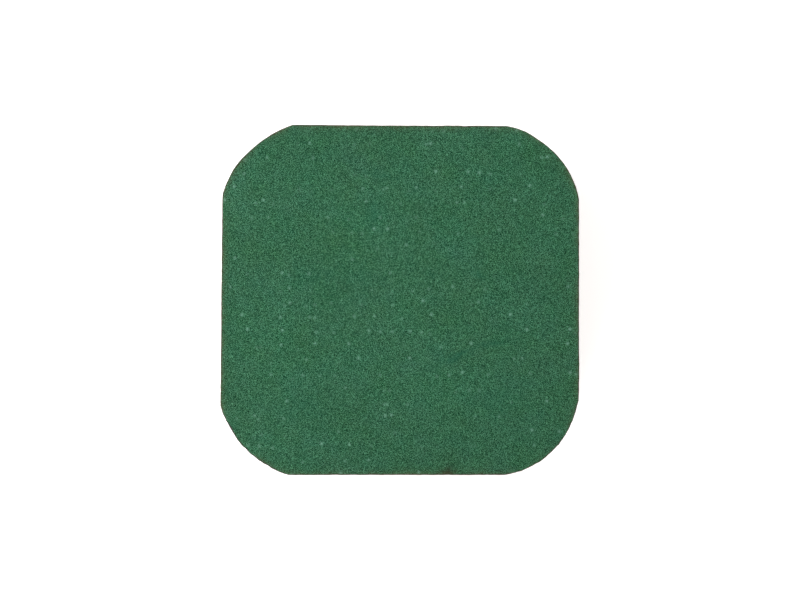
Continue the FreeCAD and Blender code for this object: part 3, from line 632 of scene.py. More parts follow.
@dataclass(frozen=True)
class StainedPlywood(Finish):
    """Exterior softwood plywood with sawn edges, under the same brushed stain.

    At a sawn edge the eye sees its plies in turn: long fibres, then the darker open ends of the
    ply that is crossed, with a black glue line between.

    Attributes:
        face: Stained veneer with its fibres in view.
        late: Its late wood.
        cut_ends: Stained fibre ends.
        glue: Phenolic glue line.
        rubbed: Thin stain at a worn arris.
        tar: Bitumen smeared over the upper arris.
        plies: Number of plies.
        glue_mm: Thickness of a glue line, drawn as thick as it needs to show.
        arches: How many bands of late wood the figure crosses.
        fibre_mm: Length, width and depth of a bundle of fibres.
        relief_mm: Depth of the open grain.
    """

    face: str = "#7b5230"
    late: str = "#56361f"
    cut_ends: str = "#3b2414"
    glue: str = "#1a100a"
    rubbed: str = "#5f4329"
    tar: str = "#211e15"
    plies: int = 7
    glue_mm: float = 0.35
    arches: float = 7.0
    fibre_mm: tuple[float, float, float] = (60.0, 1.2, 0.9)
    relief_mm: float = 0.3

    def paint(self, add: AddNode, links: bpy.types.NodeLinks, shader: bpy.types.Node) -> None:
        """Plies by height, each with the grain of its own direction.

        Args:
            add: Adds a node to the material.
            links: The material's links.
            shader: Its surface shader.
        """
        low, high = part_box("top_board")
        ply = (high.z - low.z) / self.plies
        place = add("TexCoord").outputs["Object"]
        xyz = add("SeparateXYZ", {0: place})
        lifted = add("Math", {0: xyz.outputs["Z"], 1: low.z}, operation="SUBTRACT")
        count = add("Math", {0: lifted.outputs[0], 1: ply}, operation="DIVIDE")
        level = add("Math", {0: count.outputs[0], 1: 0.0}, operation="FLOOR")
        crossed = add("Math", {0: level.outputs[0], 1: 2.0}, operation="MODULO")

        def veneer(width_mm: tuple[float, ...]) -> tuple[bpy.types.NodeSocket, ...]:
            """Add the grain of one veneer.

            Args:
                width_mm: Widths of a bundle of fibres along X, Y and Z.

            Returns:
                The fibres and the slow figure, each from 0 to 1.
            """
            fine = add("VectorMath", {0: place, 1: tuple(1 / (w * MM) for w in width_mm)},
                       operation="MULTIPLY")
            wide = add("VectorMath", {0: fine.outputs[0], 1: (0.12, 0.12, 0.12)},
                       operation="MULTIPLY")
            fibres = add("TexNoise", {"Vector": fine.outputs[0], "Scale": 1.0, "Detail": 3.0})
            figure = add("TexNoise", {"Vector": wide.outputs[0], "Scale": 1.0, "Detail": 2.0})
            return fibres.outputs["Fac"], figure.outputs["Fac"]

        length, width, depth = self.fibre_mm
        long_fibres, long_figure = veneer((length, width, depth))
        cross_fibres, cross_figure = veneer((width, length, depth))
        fibres = add("Mix", {0: crossed.outputs[0], 2: long_fibres, 3: cross_fibres})
        figure = add("Mix", {0: crossed.outputs[0], 2: long_figure, 3: cross_figure})
        bands = add("Math", {0: figure.outputs[0], 1: self.arches}, operation="MULTIPLY")
        band = add("Math", {0: bands.outputs[0], 1: 1.0}, operation="PINGPONG")
        veneer_colour = add("Mix", {0: band.outputs[0], UNDER: linear(self.face),
                                    OVER: linear(self.late)}, data_type="RGBA")

        facing = add("SeparateXYZ", {0: add("NewGeometry").outputs["Normal"]})
        side_on = add("Math", {0: facing.outputs["X"]}, operation="ABSOLUTE")
        end_on = add("Math", {0: facing.outputs["Y"]}, operation="ABSOLUTE")
        ends = add("Mix", {0: crossed.outputs[0], 2: side_on.outputs[0], 3: end_on.outputs[0]})
        end_share = add("MapRange", {"Value": ends.outputs[0], "From Min": 0.3,
                                     "From Max": 0.95, "To Max": 0.85})
        edge = add("Mix", {0: end_share.outputs["Result"], UNDER: veneer_colour.outputs[2],
                           OVER: linear(self.cut_ends)}, data_type="RGBA")

        part = add("Math", {0: count.outputs[0]}, operation="FRACT")
        middle = add("Math", {0: part.outputs[0], 1: 0.5}, operation="SUBTRACT")
        off_middle = add("Math", {0: middle.outputs[0]}, operation="ABSOLUTE")
        half_line = 0.5 * self.glue_mm * MM / ply
        glue = add("MapRange", {"Value": off_middle.outputs[0], "From Min": 0.5 - 2 * half_line,
                                "From Max": 0.5 - half_line, "To Max": 0.9})
        upright = add("Math", {0: facing.outputs["Z"]}, operation="ABSOLUTE")
        at_edge = add("Math", {0: upright.outputs[0], 1: 0.7}, operation="LESS_THAN")
        glue_line = add("Math", {0: glue.outputs["Result"], 1: at_edge.outputs[0]},
                        operation="MULTIPLY")
        glued = add("Mix", {0: glue_line.outputs[0], UNDER: edge.outputs[2], OVER: linear(self.glue)},
                    data_type="RGBA")
        streak = add("MapRange", {"Value": fibres.outputs[0], "From Min": 0.25,
                                  "From Max": 0.75, "To Min": 0.6, "To Max": 1.3})
        worn = add("Attribute", attribute_name="wear")
        shade = add("HueSaturation", {"Value": streak.outputs["Result"],
                                      "Color": glued.outputs[2]})
        rubbed = add("Mix", {0: worn.outputs["Fac"], UNDER: shade.outputs["Color"],
                             OVER: linear(self.rubbed)}, data_type="RGBA")
        tar = add("Attribute", attribute_name="tar")
        smeared = add("Math", {0: tar.outputs["Fac"], 1: streak.outputs["Result"]},
                      operation="MULTIPLY", use_clamp=True)
        tarred = add("Mix", {0: smeared.outputs[0], UNDER: rubbed.outputs[2],
                             OVER: linear(self.tar)}, data_type="RGBA")
        links.new(tarred.outputs[2], shader.inputs["Base Color"])
        bump = add("Bump", {"Height": fibres.outputs[0], "Strength": 0.6,
                            "Distance": self.relief_mm * MM})
        links.new(bump.outputs["Normal"], shader.inputs["Normal"])


@dataclass(frozen=True)
class YellowZinc(Finish):
    """Zinc-plated steel with a yellow passivation.

    It is bright but not polished, and it clouds towards grey where hands and rain reach it.

    Attributes:
        yellow: Passivated zinc.
        grey: Zinc where the yellow is gone.
        rust: Rust in the recess and round the rim.
        cloud_mm: Width of a cloud.
    """

    yellow: str = "#c9ab6b"
    grey: str = "#a5a39c"
    rust: str = "#6b3a1c"
    cloud_mm: float = 3.0

    def paint(self, add: AddNode, links: bpy.types.NodeLinks, shader: bpy.types.Node) -> None:
        """Clouds of yellow and grey, with specks of rust.

        Args:
            add: Adds a node to the material.
            links: The material's links.
            shader: Its surface shader.
        """
        place = add("TexCoord").outputs["Object"]
        cloud = add("TexNoise", {"Vector": place, "Scale": 1 / (self.cloud_mm * MM),
                                 "Detail": 4.0})
        plate = add("ValToRGB", {"Fac": cloud.outputs["Fac"]},
                    stops=((0.32, self.rust), (0.4, self.yellow), (0.68, self.grey)))
        links.new(plate.outputs["Color"], shader.inputs["Base Color"])
        dull = add("MapRange", {"Value": cloud.outputs["Fac"], "To Min": self.roughness + 0.15,
                                "To Max": self.roughness - 0.1})
        links.new(dull.outputs["Result"], shader.inputs["Roughness"])
        bump = add("Bump", {"Height": cloud.outputs["Fac"], "Strength": 0.3,
                            "Distance": 0.1 * MM})
        links.new(bump.outputs["Normal"], shader.inputs["Normal"])


@dataclass(frozen=True)
class MouldedRubber(Finish):
    """Black rubber from a mould, dusty from the yard.

    Attributes:
        clean: Rubber with its carbon black.
        dusty: Rubber under dust.
        grit_mm: Width of a speck of dust, drawn as coarse as it needs to show.
    """

    clean: str = "#1c1c1d"
    dusty: str = "#565049"
    grit_mm: float = 1.6

    def paint(self, add: AddNode, links: bpy.types.NodeLinks, shader: bpy.types.Node) -> None:
        """Dust in specks, thicker by the ground, over a fine mould texture.

        Args:
            add: Adds a node to the material.
            links: The material's links.
            shader: Its surface shader.
        """
        place = add("TexCoord").outputs["Object"]
        dust = add("TexNoise", {"Vector": place, "Scale": 1 / (self.grit_mm * MM), "Detail": 5.0,
                                "Roughness": 0.7})
        height = add("SeparateXYZ", {0: place})
        low = add("MapRange", {"Value": height.outputs["Z"], "From Min": 0.0,
                               "From Max": 12 * MM, "To Min": 0.18, "To Max": 0.0})
        amount = add("Math", {0: dust.outputs["Fac"], 1: low.outputs["Result"]}, operation="ADD")
        colour = add("ValToRGB", {"Fac": amount.outputs[0]},
                     stops=((0.45, self.clean), (0.8, self.dusty)))
        links.new(colour.outputs["Color"], shader.inputs["Base Color"])
        bump = add("Bump", {"Height": dust.outputs["Fac"], "Strength": 0.4,
                            "Distance": 0.15 * MM})
        links.new(bump.outputs["Normal"], shader.inputs["Normal"])


@dataclass(frozen=True)
class PaleFloor(Finish):
    """White acrylic sheet, lit a little from below as a product table is.

    Attributes:
        colour: The sheet's own colour.
        glow: Light that comes up through it.
    """

    colour: str = "#f4f4f2"
    glow: float = 0.42

    def paint(self, add: AddNode, links: bpy.types.NodeLinks, shader: bpy.types.Node) -> None:
        """Even white with a soft glow.

        Args:
            add: Adds a node to the material; not used here.
            links: The material's links; not used here.
            shader: Its surface shader.
        """
        shader.inputs["Base Color"].default_value = linear(self.colour)
        shader.inputs["Emission Color"].default_value = (1.0, 1.0, 1.0, 1.0)
        shader.inputs["Emission Strength"].default_value = self.glow


class Stain(Enum):
    """How much stain a piece of pine was given."""

    BOARDING = StainedPine("stained_pine_boarding", "boarding_timber", roughness=0.58,
                           gloss=0.35)
    FRAME = StainedPine("stained_pine_frame", "frame_timber", roughness=0.68, gloss=0.35,
                        early="#a9784b", late="#70472a", rubbed="#c39f73",
                        knot_spacing_mm=(310.0, 90.0, 400.0))


FELT = GranuleFelt("granule_felt_rolled", "green_granules", roughness=0.85, gloss=0.12)
CUT_EDGE = Bitumen("bitumen_knife_cut", "green_granules", roughness=0.7)
BED = Bitumen("bitumen_trowelled", "bitumen", roughness=0.5)
PLYWOOD = StainedPlywood("stained_plywood_sawn", "stained_plywood", roughness=0.66, gloss=0.35)
ZINC = YellowZinc("yellow_zinc_plated", "screw_steel", roughness=0.34, metallic=1.0)
RUBBER = MouldedRubber("moulded_black_rubber", "foot_rubber", roughness=0.62, ior=1.52)
FLOOR = PaleFloor("white_acrylic_sheet", "", roughness=0.5)


# ---------------------------------------------------------------- mesh work

def lattice_noise(x: np.ndarray, y: np.ndarray, width: float, seed: int) -> np.ndarray:
    """Smooth noise from -1 to 1 on a square lattice.

    Args:
        x: Places along X.
        y: Places along Y, of the same shape.
        width: Distance between lattice points.
        seed: Number that the lattice's values are drawn from.

    Returns:
        One value for each place.
    """
    size = 512
    values = np.random.default_rng(seed).uniform(-1, 1, (size, size))
    u, v = x / width, y / width
    i, j = np.floor(u).astype(int), np.floor(v).astype(int)
    s, t = u - i, v - j
    s, t = s * s * (3 - 2 * s), t * t * (3 - 2 * t)
    corner = [[values[(i + a) % size, (j + b) % size] for b in (0, 1)] for a in (0, 1)]
    low = corner[0][0] * (1 - s) + corner[1][0] * s
    high = corner[0][1] * (1 - s) + corner[1][1] * s
    return low * (1 - t) + high * t


def store(mesh: bpy.types.Mesh, name: str, values: np.ndarray) -> None:
    """Store a number or a vector for each vertex, for the materials to read.

    Args:
        mesh: Mesh that takes the attribute.
        name: Name that the materials know it by.
        values: One row for each vertex, of one or three numbers.
    """
    vector = values.ndim == 2
    kind, key = ("FLOAT_VECTOR", "vector") if vector else ("FLOAT", "value")
    attribute = mesh.attributes.new(name=name, type=kind, domain="POINT")
    attribute.data.foreach_set(key, values.astype(np.float32).ravel())


def new_piece(name: str, mesh: bpy.types.Mesh, *nodes: str) -> bpy.types.Object:
    """Link a mesh as a piece that stands for solids of the frame.

    Args:
        name: Name of the piece.
        mesh: Its mesh, in place.
        *nodes: The solids that it stands for.

    Returns:
        The new object, which rides on the block.
    """
    piece = bpy.data.objects.new(name, mesh)
    bpy.context.scene.collection.objects.link(piece)
    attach(piece, BODY)
    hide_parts(*nodes)
    return piece


# ---------------------------------------------------------------- tread

@dataclass(frozen=True)
class Slip:
    """A place where the saw left its line, or where the edge was knocked.

    Attributes:
        x: Where it is along X, in millimetres from the middle of the tread.
        y: Where it is along Y.
        depth_mm: How far it goes in, or out if it is negative.
        width_mm: Half its length along the edge.
    """

    x: float
    y: float
    depth_mm: float
    width_mm: float


@dataclass(frozen=True)
class TrimLine:
    """The line along which felt and board were cut together, by hand.

    Attributes:
        wobble_mm: How far the saw strays at most, slowly and quickly.
        rough_mm: How much further it strays quickly round the two front corners.
        wave_mm: Lengths of the slow and the quick straying.
        reach_mm: How far from the edge the surface is drawn along with it.
        sample_mm: Distance between points where the line is worked out.
        slips: Slips of the saw, and knocks.
    """

    wobble_mm: tuple[float, float] = (0.2, 0.2)
    rough_mm: float = 0.42
    wave_mm: tuple[float, float] = (26.0, 4.2)
    reach_mm: float = 9.0
    sample_mm: float = 0.8
    slips: tuple[Slip, ...] = (
        Slip(-185, 149, -1.5, 18), Slip(183, 153, -0.6, 26), Slip(138, 190, -1.0, 15),
        Slip(199, 92, -0.4, 14), Slip(-189, -142, 1.6, 13), Slip(-166, -172, 1.0, 24),
        Slip(-100, -195, -0.3, 20), Slip(145, -186, -0.4, 12), Slip(195, -127, 1.2, 18),
        Slip(181, -158, 0.9, 3), Slip(72, 195, 0.7, 3), Slip(-150, -186, 0.5, 4),
    )

    def outline(self, node: str) -> np.ndarray:
        """Corners of a sheet's upper face.

        Args:
            node: The sheet's solid.

        Returns:
            Rows of x and y, anticlockwise.
        """
        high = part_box(node)[1]
        half = 0.9 * min(high.x, high.y)
        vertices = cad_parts[node].data.vertices
        points = {(round(v.co.x, 6), round(v.co.y, 6)) for v in vertices
                  if abs(v.co.z - high.z) < LEVEL_WITHIN and v.co.xy.length > half}
        return np.array(sorted(points, key=lambda p: math.atan2(p[1], p[0])))

    def samples(self, node: str) -> tuple[np.ndarray, np.ndarray]:
        """Closely spaced points of a sheet's outline.

        Args:
            node: The sheet's solid.

        Returns:
            Rows of x and y, and the way out at each of them.
        """
        loop = self.outline(node)
        ahead = np.roll(loop, -1, axis=0) - loop
        length = np.hypot(ahead[:, 0], ahead[:, 1])
        points, ways = [], []
        for start, step, size in zip(loop, ahead, length):
            count = max(1, int(size / (self.sample_mm * MM)))
            share = (np.arange(count) / count)[:, None]
            points.append(start + share * step)
            ways.append(np.tile([step[1] / size, -step[0] / size], (count, 1)))
        return np.concatenate(points), np.concatenate(ways)

    def stray(self, points: np.ndarray) -> np.ndarray:
        """How far the cut lies inside its line.

        Args:
            points: Rows of x and y, on the outline.

        Returns:
            One distance for each point, in metres.
        """
        x, y = points[:, 0], points[:, 1]
        slow, short = (wave * MM for wave in self.wave_mm)
        inwards = self.wobble_mm[0] * MM * lattice_noise(x, y, slow, Draw.SLOW_STRAY)
        corner = np.clip((-y - 0.11) / 0.03, 0, 1) * np.clip((np.abs(x) - 0.12) / 0.02, 0, 1)
        quick = (self.wobble_mm[1] + self.rough_mm * corner) * MM
        inwards += quick * lattice_noise(x, y, short, Draw.QUICK_STRAY)
        for slip in self.slips:
            away = np.hypot(x - slip.x * MM, y - slip.y * MM) / (slip.width_mm * MM)
            inwards += slip.depth_mm * MM * np.exp(-away ** 2)
        return inwards

    def follow(self, node: str, points: np.ndarray) -> tuple[np.ndarray, np.ndarray]:
        """Move points near a sheet's edge to where the saw went.

        Args:
            node: The sheet's solid.
            points: Rows of x and y.

        Returns:
            The moved points, and how far each was from the edge in millimetres.
        """
        edge, out = self.samples(node)
        inwards = self.stray(edge)
        middle = 0.5 * (edge.min(axis=0) + edge.max(axis=0))
        half = 0.5 * (edge.max(axis=0) - edge.min(axis=0)) - self.reach_mm * MM
        moved = points.copy()
        distance = np.full(len(points), 100.0)
        off = np.abs(points - middle)
        outer = (off > half).any(axis=1) | (off.sum(axis=1) > 0.72 * half.sum())
        # In parts, so that the table of distances stays small.
        for part in np.array_split(np.nonzero(outer)[0], 24):
            apart = points[part, None, :] - edge[None, :, :]
            gap = np.hypot(apart[..., 0], apart[..., 1])
            near = gap.argmin(axis=1)
            distance[part] = gap[np.arange(len(part)), near] / MM
            hold = np.clip(1 - distance[part] / self.reach_mm, 0, 1)
            moved[part] -= out[near] * (inwards[near] * hold)[:, None]
        return moved, distance


TRIM = TrimLine()


@dataclass(frozen=True)
class Smear:
    """A soft-edged patch on the tread.

    Attributes:
        x: Its middle along X, in millimetres from the middle of the tread.
        y: Its middle along Y.
        length_mm: Half its length.
        width_mm: Half its width.
        turn: Its direction, in degrees from X.
        strength: How dark it is, from 0 to 1.
    """

    x: float
    y: float
    length_mm: float
    width_mm: float
    turn: float
    strength: float


@dataclass
class Tread:
    """The green felt: a gritty sheet with a hand-cut edge, and the bitumen bed below it.

    Attributes:
        node: The felt's solid.
        pitch_mm: Distance from vertex to vertex.
        grit_mm: Height of the grit in the mesh.
        ripple_mm: Height of the sheet's slow ripples.
        torn: Down the cut side, the share of its height and how far it is torn, in millimetres.
        crease_deg: Sharpest bend between faces that are shaded as one.
        dust_mm: Width of the dusty margin.
        grime_and_painted_shade: Where grime is trodden in, and two broad bands of painted shade that
            darken the right and front edges.
        damp: Where the granules stay damp.
    """

    node: str = "tread_felt"
    pitch_mm: float = 1.4
    grit_mm: float = 0.045
    ripple_mm: float = 0.2
    torn: tuple[tuple[float, float], ...] = ((0.25, 0.1), (0.6, 0.16), (1.0, 0.05))
    crease_deg: float = 60.0
    dust_mm: float = 2.6
    grime_and_painted_shade: tuple[Smear, ...] = (
        Smear(54, -191, 9, 5, 0, 0.8), Smear(176, -168, 14, 6, 45, 0.25),
        Smear(68, 146, 4, 3, 0, 0.3), Smear(108, -22, 10, 3, 10, 0.2),
        # The last two are not grime but broad bands of painted shade, darker along the right and front
        # edges.
        Smear(190, -20, 30, 260, 0, 0.08), Smear(40, -196, 260, 34, 0, 0.1),
    )
    damp: tuple[Smear, ...] = (
        Smear(60, -64, 24, 5, 22, 0.6), Smear(102, -48, 24, 5, 12, 0.4),
        Smear(90, 28, 12, 5, -20, 0.4), Smear(-22, 140, 20, 7, -15, 0.4),
        Smear(-30, 96, 16, 8, 60, 0.3), Smear(-96, 26, 22, 7, 8, 0.25),
        Smear(110, -110, 30, 24, 0, 0.2), Smear(-120, -120, 40, 20, 10, 0.2),
    )

    def grid(self) -> np.ndarray:
        """Rows of points that fill the outline, each row from its left side to its right.

        Returns:
            Array of rows by columns by x and y.
        """
        loop = TRIM.outline(self.node)
        ahead = np.roll(loop, -1, axis=0) - loop
        length = np.hypot(ahead[:, 0], ahead[:, 1])
        count = len(loop)
        level = np.abs(ahead[:, 1]) < 0.1 * length
        front = int(np.argmax(np.where(level & (loop[:, 1] < 0), length, 0)))
        back = int(np.argmax(np.where(level & (loop[:, 1] > 0), length, 0)))
        right = [loop[k % count] for k in range(front + 1, front + 1 + (back - front) % count)]
        left = [loop[k % count] for k in range(back + 1, back + 1 + (front - back) % count)]
        right, left = np.array(right), np.array(left[::-1])
        rows = round((loop[:, 1].max() - loop[:, 1].min()) / (self.pitch_mm * MM))
        columns = round((loop[:, 0].max() - loop[:, 0].min()) / (self.pitch_mm * MM))
        v = np.linspace(0, 1, rows + 1)
        ends = []
        for chain in (left, right):
            y = chain[0, 1] + v * (chain[-1, 1] - chain[0, 1])
            ends.append(np.stack([np.interp(y, chain[:, 1], chain[:, 0]), y], axis=1))
        u = np.linspace(0, 1, columns + 1)[None, :, None]
        return ends[0][:, None, :] * (1 - u) + ends[1][:, None, :] * u

    def build(self) -> bpy.types.Object:
        """Build the felt with its relief, its cut side and its underside.

        Returns:
            The felt, which stands for its solid.
        """
        low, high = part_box(self.node)
        grid = self.grid()
        rows, columns = grid.shape[:2]
        flat, from_edge = TRIM.follow(self.node, grid.reshape(-1, 2))
        x, y = flat[:, 0], flat[:, 1]
        chance = np.random.default_rng(Draw.GRIT)
        ripple = (0.7 * lattice_noise(x, y, 90 * MM, Draw.LONG_RIPPLE)
                  + 0.3 * lattice_noise(x, y, 22 * MM, Draw.SHORT_RIPPLE) - 1)
        z = high.z + self.ripple_mm * MM * ripple
        z += self.grit_mm * MM * chance.uniform(-1, 1, x.shape)
        top = np.stack([x, y, z], axis=1)

        number = np.arange(rows * columns).reshape(rows, columns)
        quads = np.stack([number[:-1, :-1], number[:-1, 1:], number[1:, 1:], number[1:, :-1]],
                         axis=2).reshape(-1, 4)
        rim = np.concatenate([number[0, :-1], number[:-1, -1], number[-1, :0:-1],
                              number[:0:-1, 0]])
        rings = [rim]
        vertices = [top]
        total = len(top)
        out = top[rim, :2] / np.hypot(top[rim, 0], top[rim, 1])[:, None]
        for share, spread in self.torn:
            ring = top[rim].copy()
            ring[:, 2] += (low.z - ring[:, 2]) * share
            torn = chance.uniform(-1, 1, len(rim)) * spread * MM
            ring[:, :2] += out * torn[:, None]
            vertices.append(ring)
            rings.append(np.arange(total, total + len(rim)))
            total += len(rim)
        walls = [np.stack([upper, lower, np.roll(lower, -1), np.roll(upper, -1)], axis=1)
                 for upper, lower in zip(rings, rings[1:])]
        faces = quads.tolist() + np.concatenate(walls).tolist() + [rings[-1][::-1].tolist()]

        mesh = bpy.data.meshes.new("felt_sheet")
        mesh.from_pydata(np.concatenate(vertices).tolist(), [], faces)
        mesh.polygons.foreach_set("use_smooth", [True] * len(faces))
        side = np.zeros(total - len(top))
        store(mesh, "dust", np.concatenate([self.dust(x, y, from_edge), side]))
        store(mesh, "damp", np.concatenate([self.smeared(self.damp, x, y), side]))
        # Trodden-in grime and the painted shade along the right and front edges, in one share.
        store(mesh, "dirt", np.concatenate([self.smeared(self.grime_and_painted_shade, x, y), side]))
        mesh.set_sharp_from_angle(angle=math.radians(self.crease_deg))
        piece = new_piece("green_tread_felt", mesh, self.node)
        self.dress(piece, len(quads))
        return piece

    def dust(self, x: np.ndarray, y: np.ndarray, from_edge: np.ndarray) -> np.ndarray:
        """How dusty each point is, from 0 to 1.

        Args:
            x: Places along X.
            y: Places along Y.
            from_edge: Distances from the cut edge, in millimetres.

        Returns:
            One share for each point.
        """
        lay = 0.55 + 0.45 * lattice_noise(x, y, 17 * MM, Draw.DUST_PATCHES)
        fine = 0.75 + 0.25 * lattice_noise(x, y, 3 * MM, Draw.DUST_SPECKS)
        return np.clip(0.55 * lay * fine * np.exp(-from_edge / self.dust_mm), 0, 1)

    def smeared(self, smears: Sequence[Smear], x: np.ndarray, y: np.ndarray) -> np.ndarray:
        """How much of the smears each point has, from 0 to 1.

        Args:
            smears: Smears of one kind.
            x: Places along X.
            y: Places along Y.

        Returns:
            One share for each point.
        """
        share = np.zeros(len(x))
        for smear in smears:
            turn = math.radians(smear.turn)
            across, back = x - smear.x * MM, y - smear.y * MM
            along = (across * math.cos(turn) + back * math.sin(turn)) / (smear.length_mm * MM)
            beside = (back * math.cos(turn) - across * math.sin(turn)) / (smear.width_mm * MM)
            share += smear.strength * np.exp(-along ** 2 - beside ** 2)
        specks = 0.7 + 0.5 * lattice_noise(x, y, 3 * MM, Draw.SMEAR_SPECKS)
        return np.clip(share * specks, 0, 1)

    def dress(self, piece: bpy.types.Object, top_faces: int) -> None:
        """Put granules on the upper face and bitumen on the cut, and dress the bed.

        Args:
            piece: The felt.
            top_faces: How many of its faces, from the first on, are the upper face's.
        """
        FELT.dress(piece)
        mesh = piece.data
        mesh.materials.append(CUT_EDGE.material())
        others = len(mesh.polygons) - top_faces
        mesh.polygons.foreach_set("material_index", [0] * top_faces + [1] * others)
        BED.dress(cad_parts["felt_adhesive"])


# ---------------------------------------------------------------- timber

def cut_through(body: bmesh.types.BMesh, normal: Vector, offset: float) -> None:
    """Cut every edge and face that a plane crosses, and leave both halves joined.

    Args:
        body: The mesh.
        normal: The plane's normal.
        offset: Its distance from the origin along the normal.
    """
    everything = [*body.verts, *body.edges, *body.faces]
    bmesh.ops.bisect_plane(body, geom=everything, plane_co=normal * offset, plane_no=normal,
                           dist=CUT_WIDTH)


@dataclass
class Timber:
    """One piece of wood, cut to its solid and then used for some years.

    Attributes:
        node: The wood's solid.
        finish: Its stain.
        seed: Number that its grain and wear are drawn from.
        pitch_mm: Distance between cuts along the piece, and across it.
        wear_mm: How deep an arris is worn at most.
        pith_mm: Least and greatest distance from the middle of the piece to the log's pith.
        pith_side_mm: How far to either side the pith may lie.
        pith_lean: How steeply the pith may lean against the piece.
        tones: Darkest and palest tone of a piece.
        rubs: Least and greatest share of the stain that is rubbed off a worn arris.
        crease_deg: Sharpest bend between faces that are shaded as one.
        axes: The piece's own axes, as rows: along it, across it and through it.
        middle: Its middle, by those axes.
        half: Its half sizes, by those axes.
    """

    node: str
    finish: Finish
    seed: int
    pitch_mm: tuple[float, float] = (7.0, 9.0)
    wear_mm: float = 0.9
    pith_mm: tuple[float, float] = (28.0, 75.0)
    pith_side_mm: float = 30.0
    pith_lean: float = 0.11
    tones: tuple[float, float] = (0.82, 1.14)
    rubs: tuple[float, float] = (0.45, 0.8)
    crease_deg: float = 38.0
    axes: Matrix = field(default_factory=lambda: Matrix.Identity(3), init=False)
    middle: Vector = field(default_factory=Vector, init=False)
    half: Vector = field(default_factory=Vector, init=False)

    def solid(self) -> bmesh.types.BMesh:
        """Copy the solid's mesh, with split vertices joined and flat faces made whole.

        Returns:
            The copy.
        """
        body = bmesh.new()
        body.from_mesh(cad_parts[self.node].data)
        bmesh.ops.remove_doubles(body, verts=body.verts, dist=WELD)
        bmesh.ops.dissolve_limit(body, angle_limit=math.radians(0.4), verts=body.verts,
                                 edges=body.edges)
        return body

    def find_grain(self, body: bmesh.types.BMesh) -> None:
        """Find the piece's own axes, its middle and its half sizes.

        Args:
            body: The piece's mesh, before it is divided.
        """
        longest = max(body.edges, key=lambda e: e.calc_length())
        along = (longest.verts[1].co - longest.verts[0].co).normalized()
        widest = max(body.faces, key=lambda f: f.calc_area())
        through = (widest.normal - widest.normal.dot(along) * along).normalized()
        if through.z < 0:
            through = -through
        across = through.cross(along)
        self.axes = Matrix((along, across, through))
        spots = [self.axes @ v.co for v in body.verts]
        lowest = Vector(tuple(min(s[i] for s in spots) for i in range(3)))
        highest = Vector(tuple(max(s[i] for s in spots) for i in range(3)))
        self.middle = (lowest + highest) / 2
        self.half = (highest - lowest) / 2

    def divide(self, body: bmesh.types.BMesh) -> None:
        """Cut the mesh along, across and through the piece, so that it can be worn.

        Args:
            body: The piece's mesh.
        """
        for axis, pitch in ((0, self.pitch_mm[0]), (1, self.pitch_mm[1]), (2, self.pitch_mm[1])):
            count = int(2 * self.half[axis] / (pitch * MM))
            for step in range(1, count + 1):
                offset = self.middle[axis] - self.half[axis]
                offset += 2 * self.half[axis] * step / (count + 1)
                cut_through(body, self.axes[axis], offset)

    def wear(self, body: bmesh.types.BMesh) -> list[float]:
        """Wear the arrises unevenly.

        Args:
            body: Mesh whose vertices move inwards.

        Returns:
            How worn each vertex is, from 0 to 1.
        """
        body.normal_update()
        shares = []
        moves = []
        offset = Vector((self.seed * 3.7, self.seed * 1.3, 0.5))
        for vertex in body.verts:
            normals = [f.normal for f in vertex.link_faces]
            bend = 1 - min(n.dot(vertex.normal) for n in normals)
            arris = min(1.0, bend / 0.06)
            place = vertex.co / (22 * MM) + offset
            rough = 0.5 + 0.5 * noise.noise(place) + 0.35 * noise.noise(place * 4.1)
            share = arris * min(1.0, max(0.0, rough - 0.25))
            shares.append(share)
            moves.append(-vertex.normal * share * self.wear_mm * MM)
        for vertex, move in zip(body.verts, moves):
            vertex.co += move
        return shares

    def build(self) -> bpy.types.Object:
        """Build the piece and store what its finish reads.

        Returns:
            The piece, which stands for its solid.
        """
        chance = np.random.default_rng(self.seed)
        body = self.solid()
        self.find_grain(body)
        self.divide(body)
        shares = self.wear(body)
        bmesh.ops.triangulate(body, faces=[f for f in body.faces if len(f.verts) > 4])
        mesh = bpy.data.meshes.new(f"{self.node}_timber")
        body.to_mesh(mesh)
        body.free()
        count = len(mesh.vertices)
        places = np.empty(count * 3, np.float32)
        mesh.vertices.foreach_get("co", places)
        own = places.reshape(-1, 3) @ np.array(self.axes).T - np.array(self.middle)
        side = chance.choice([-1, 1])
        distance = chance.uniform(*self.pith_mm)
        pith = (chance.uniform(-self.pith_side_mm, self.pith_side_mm), side * distance,
                chance.uniform(-self.pith_lean, self.pith_lean))
        store(mesh, "grain", own / MM)
        store(mesh, "lot", np.tile(chance.uniform(0, 90, 3), (count, 1)))
        store(mesh, "pith", np.tile(pith, (count, 1)))
        store(mesh, "tone", np.full(count, chance.uniform(*self.tones)))
        store(mesh, "wear", np.array(shares) * chance.uniform(*self.rubs))
        self.mark(mesh)
        mesh.polygons.foreach_set("use_smooth", [True] * len(mesh.polygons))
        mesh.set_sharp_from_angle(angle=math.radians(self.crease_deg))
        piece = new_piece(f"{self.node}_timber", mesh, self.node)
        self.finish.dress(piece)
        return piece

    def mark(self, mesh: bpy.types.Mesh) -> None:
        """Store any other marks that the piece has. Plain timber has none."""


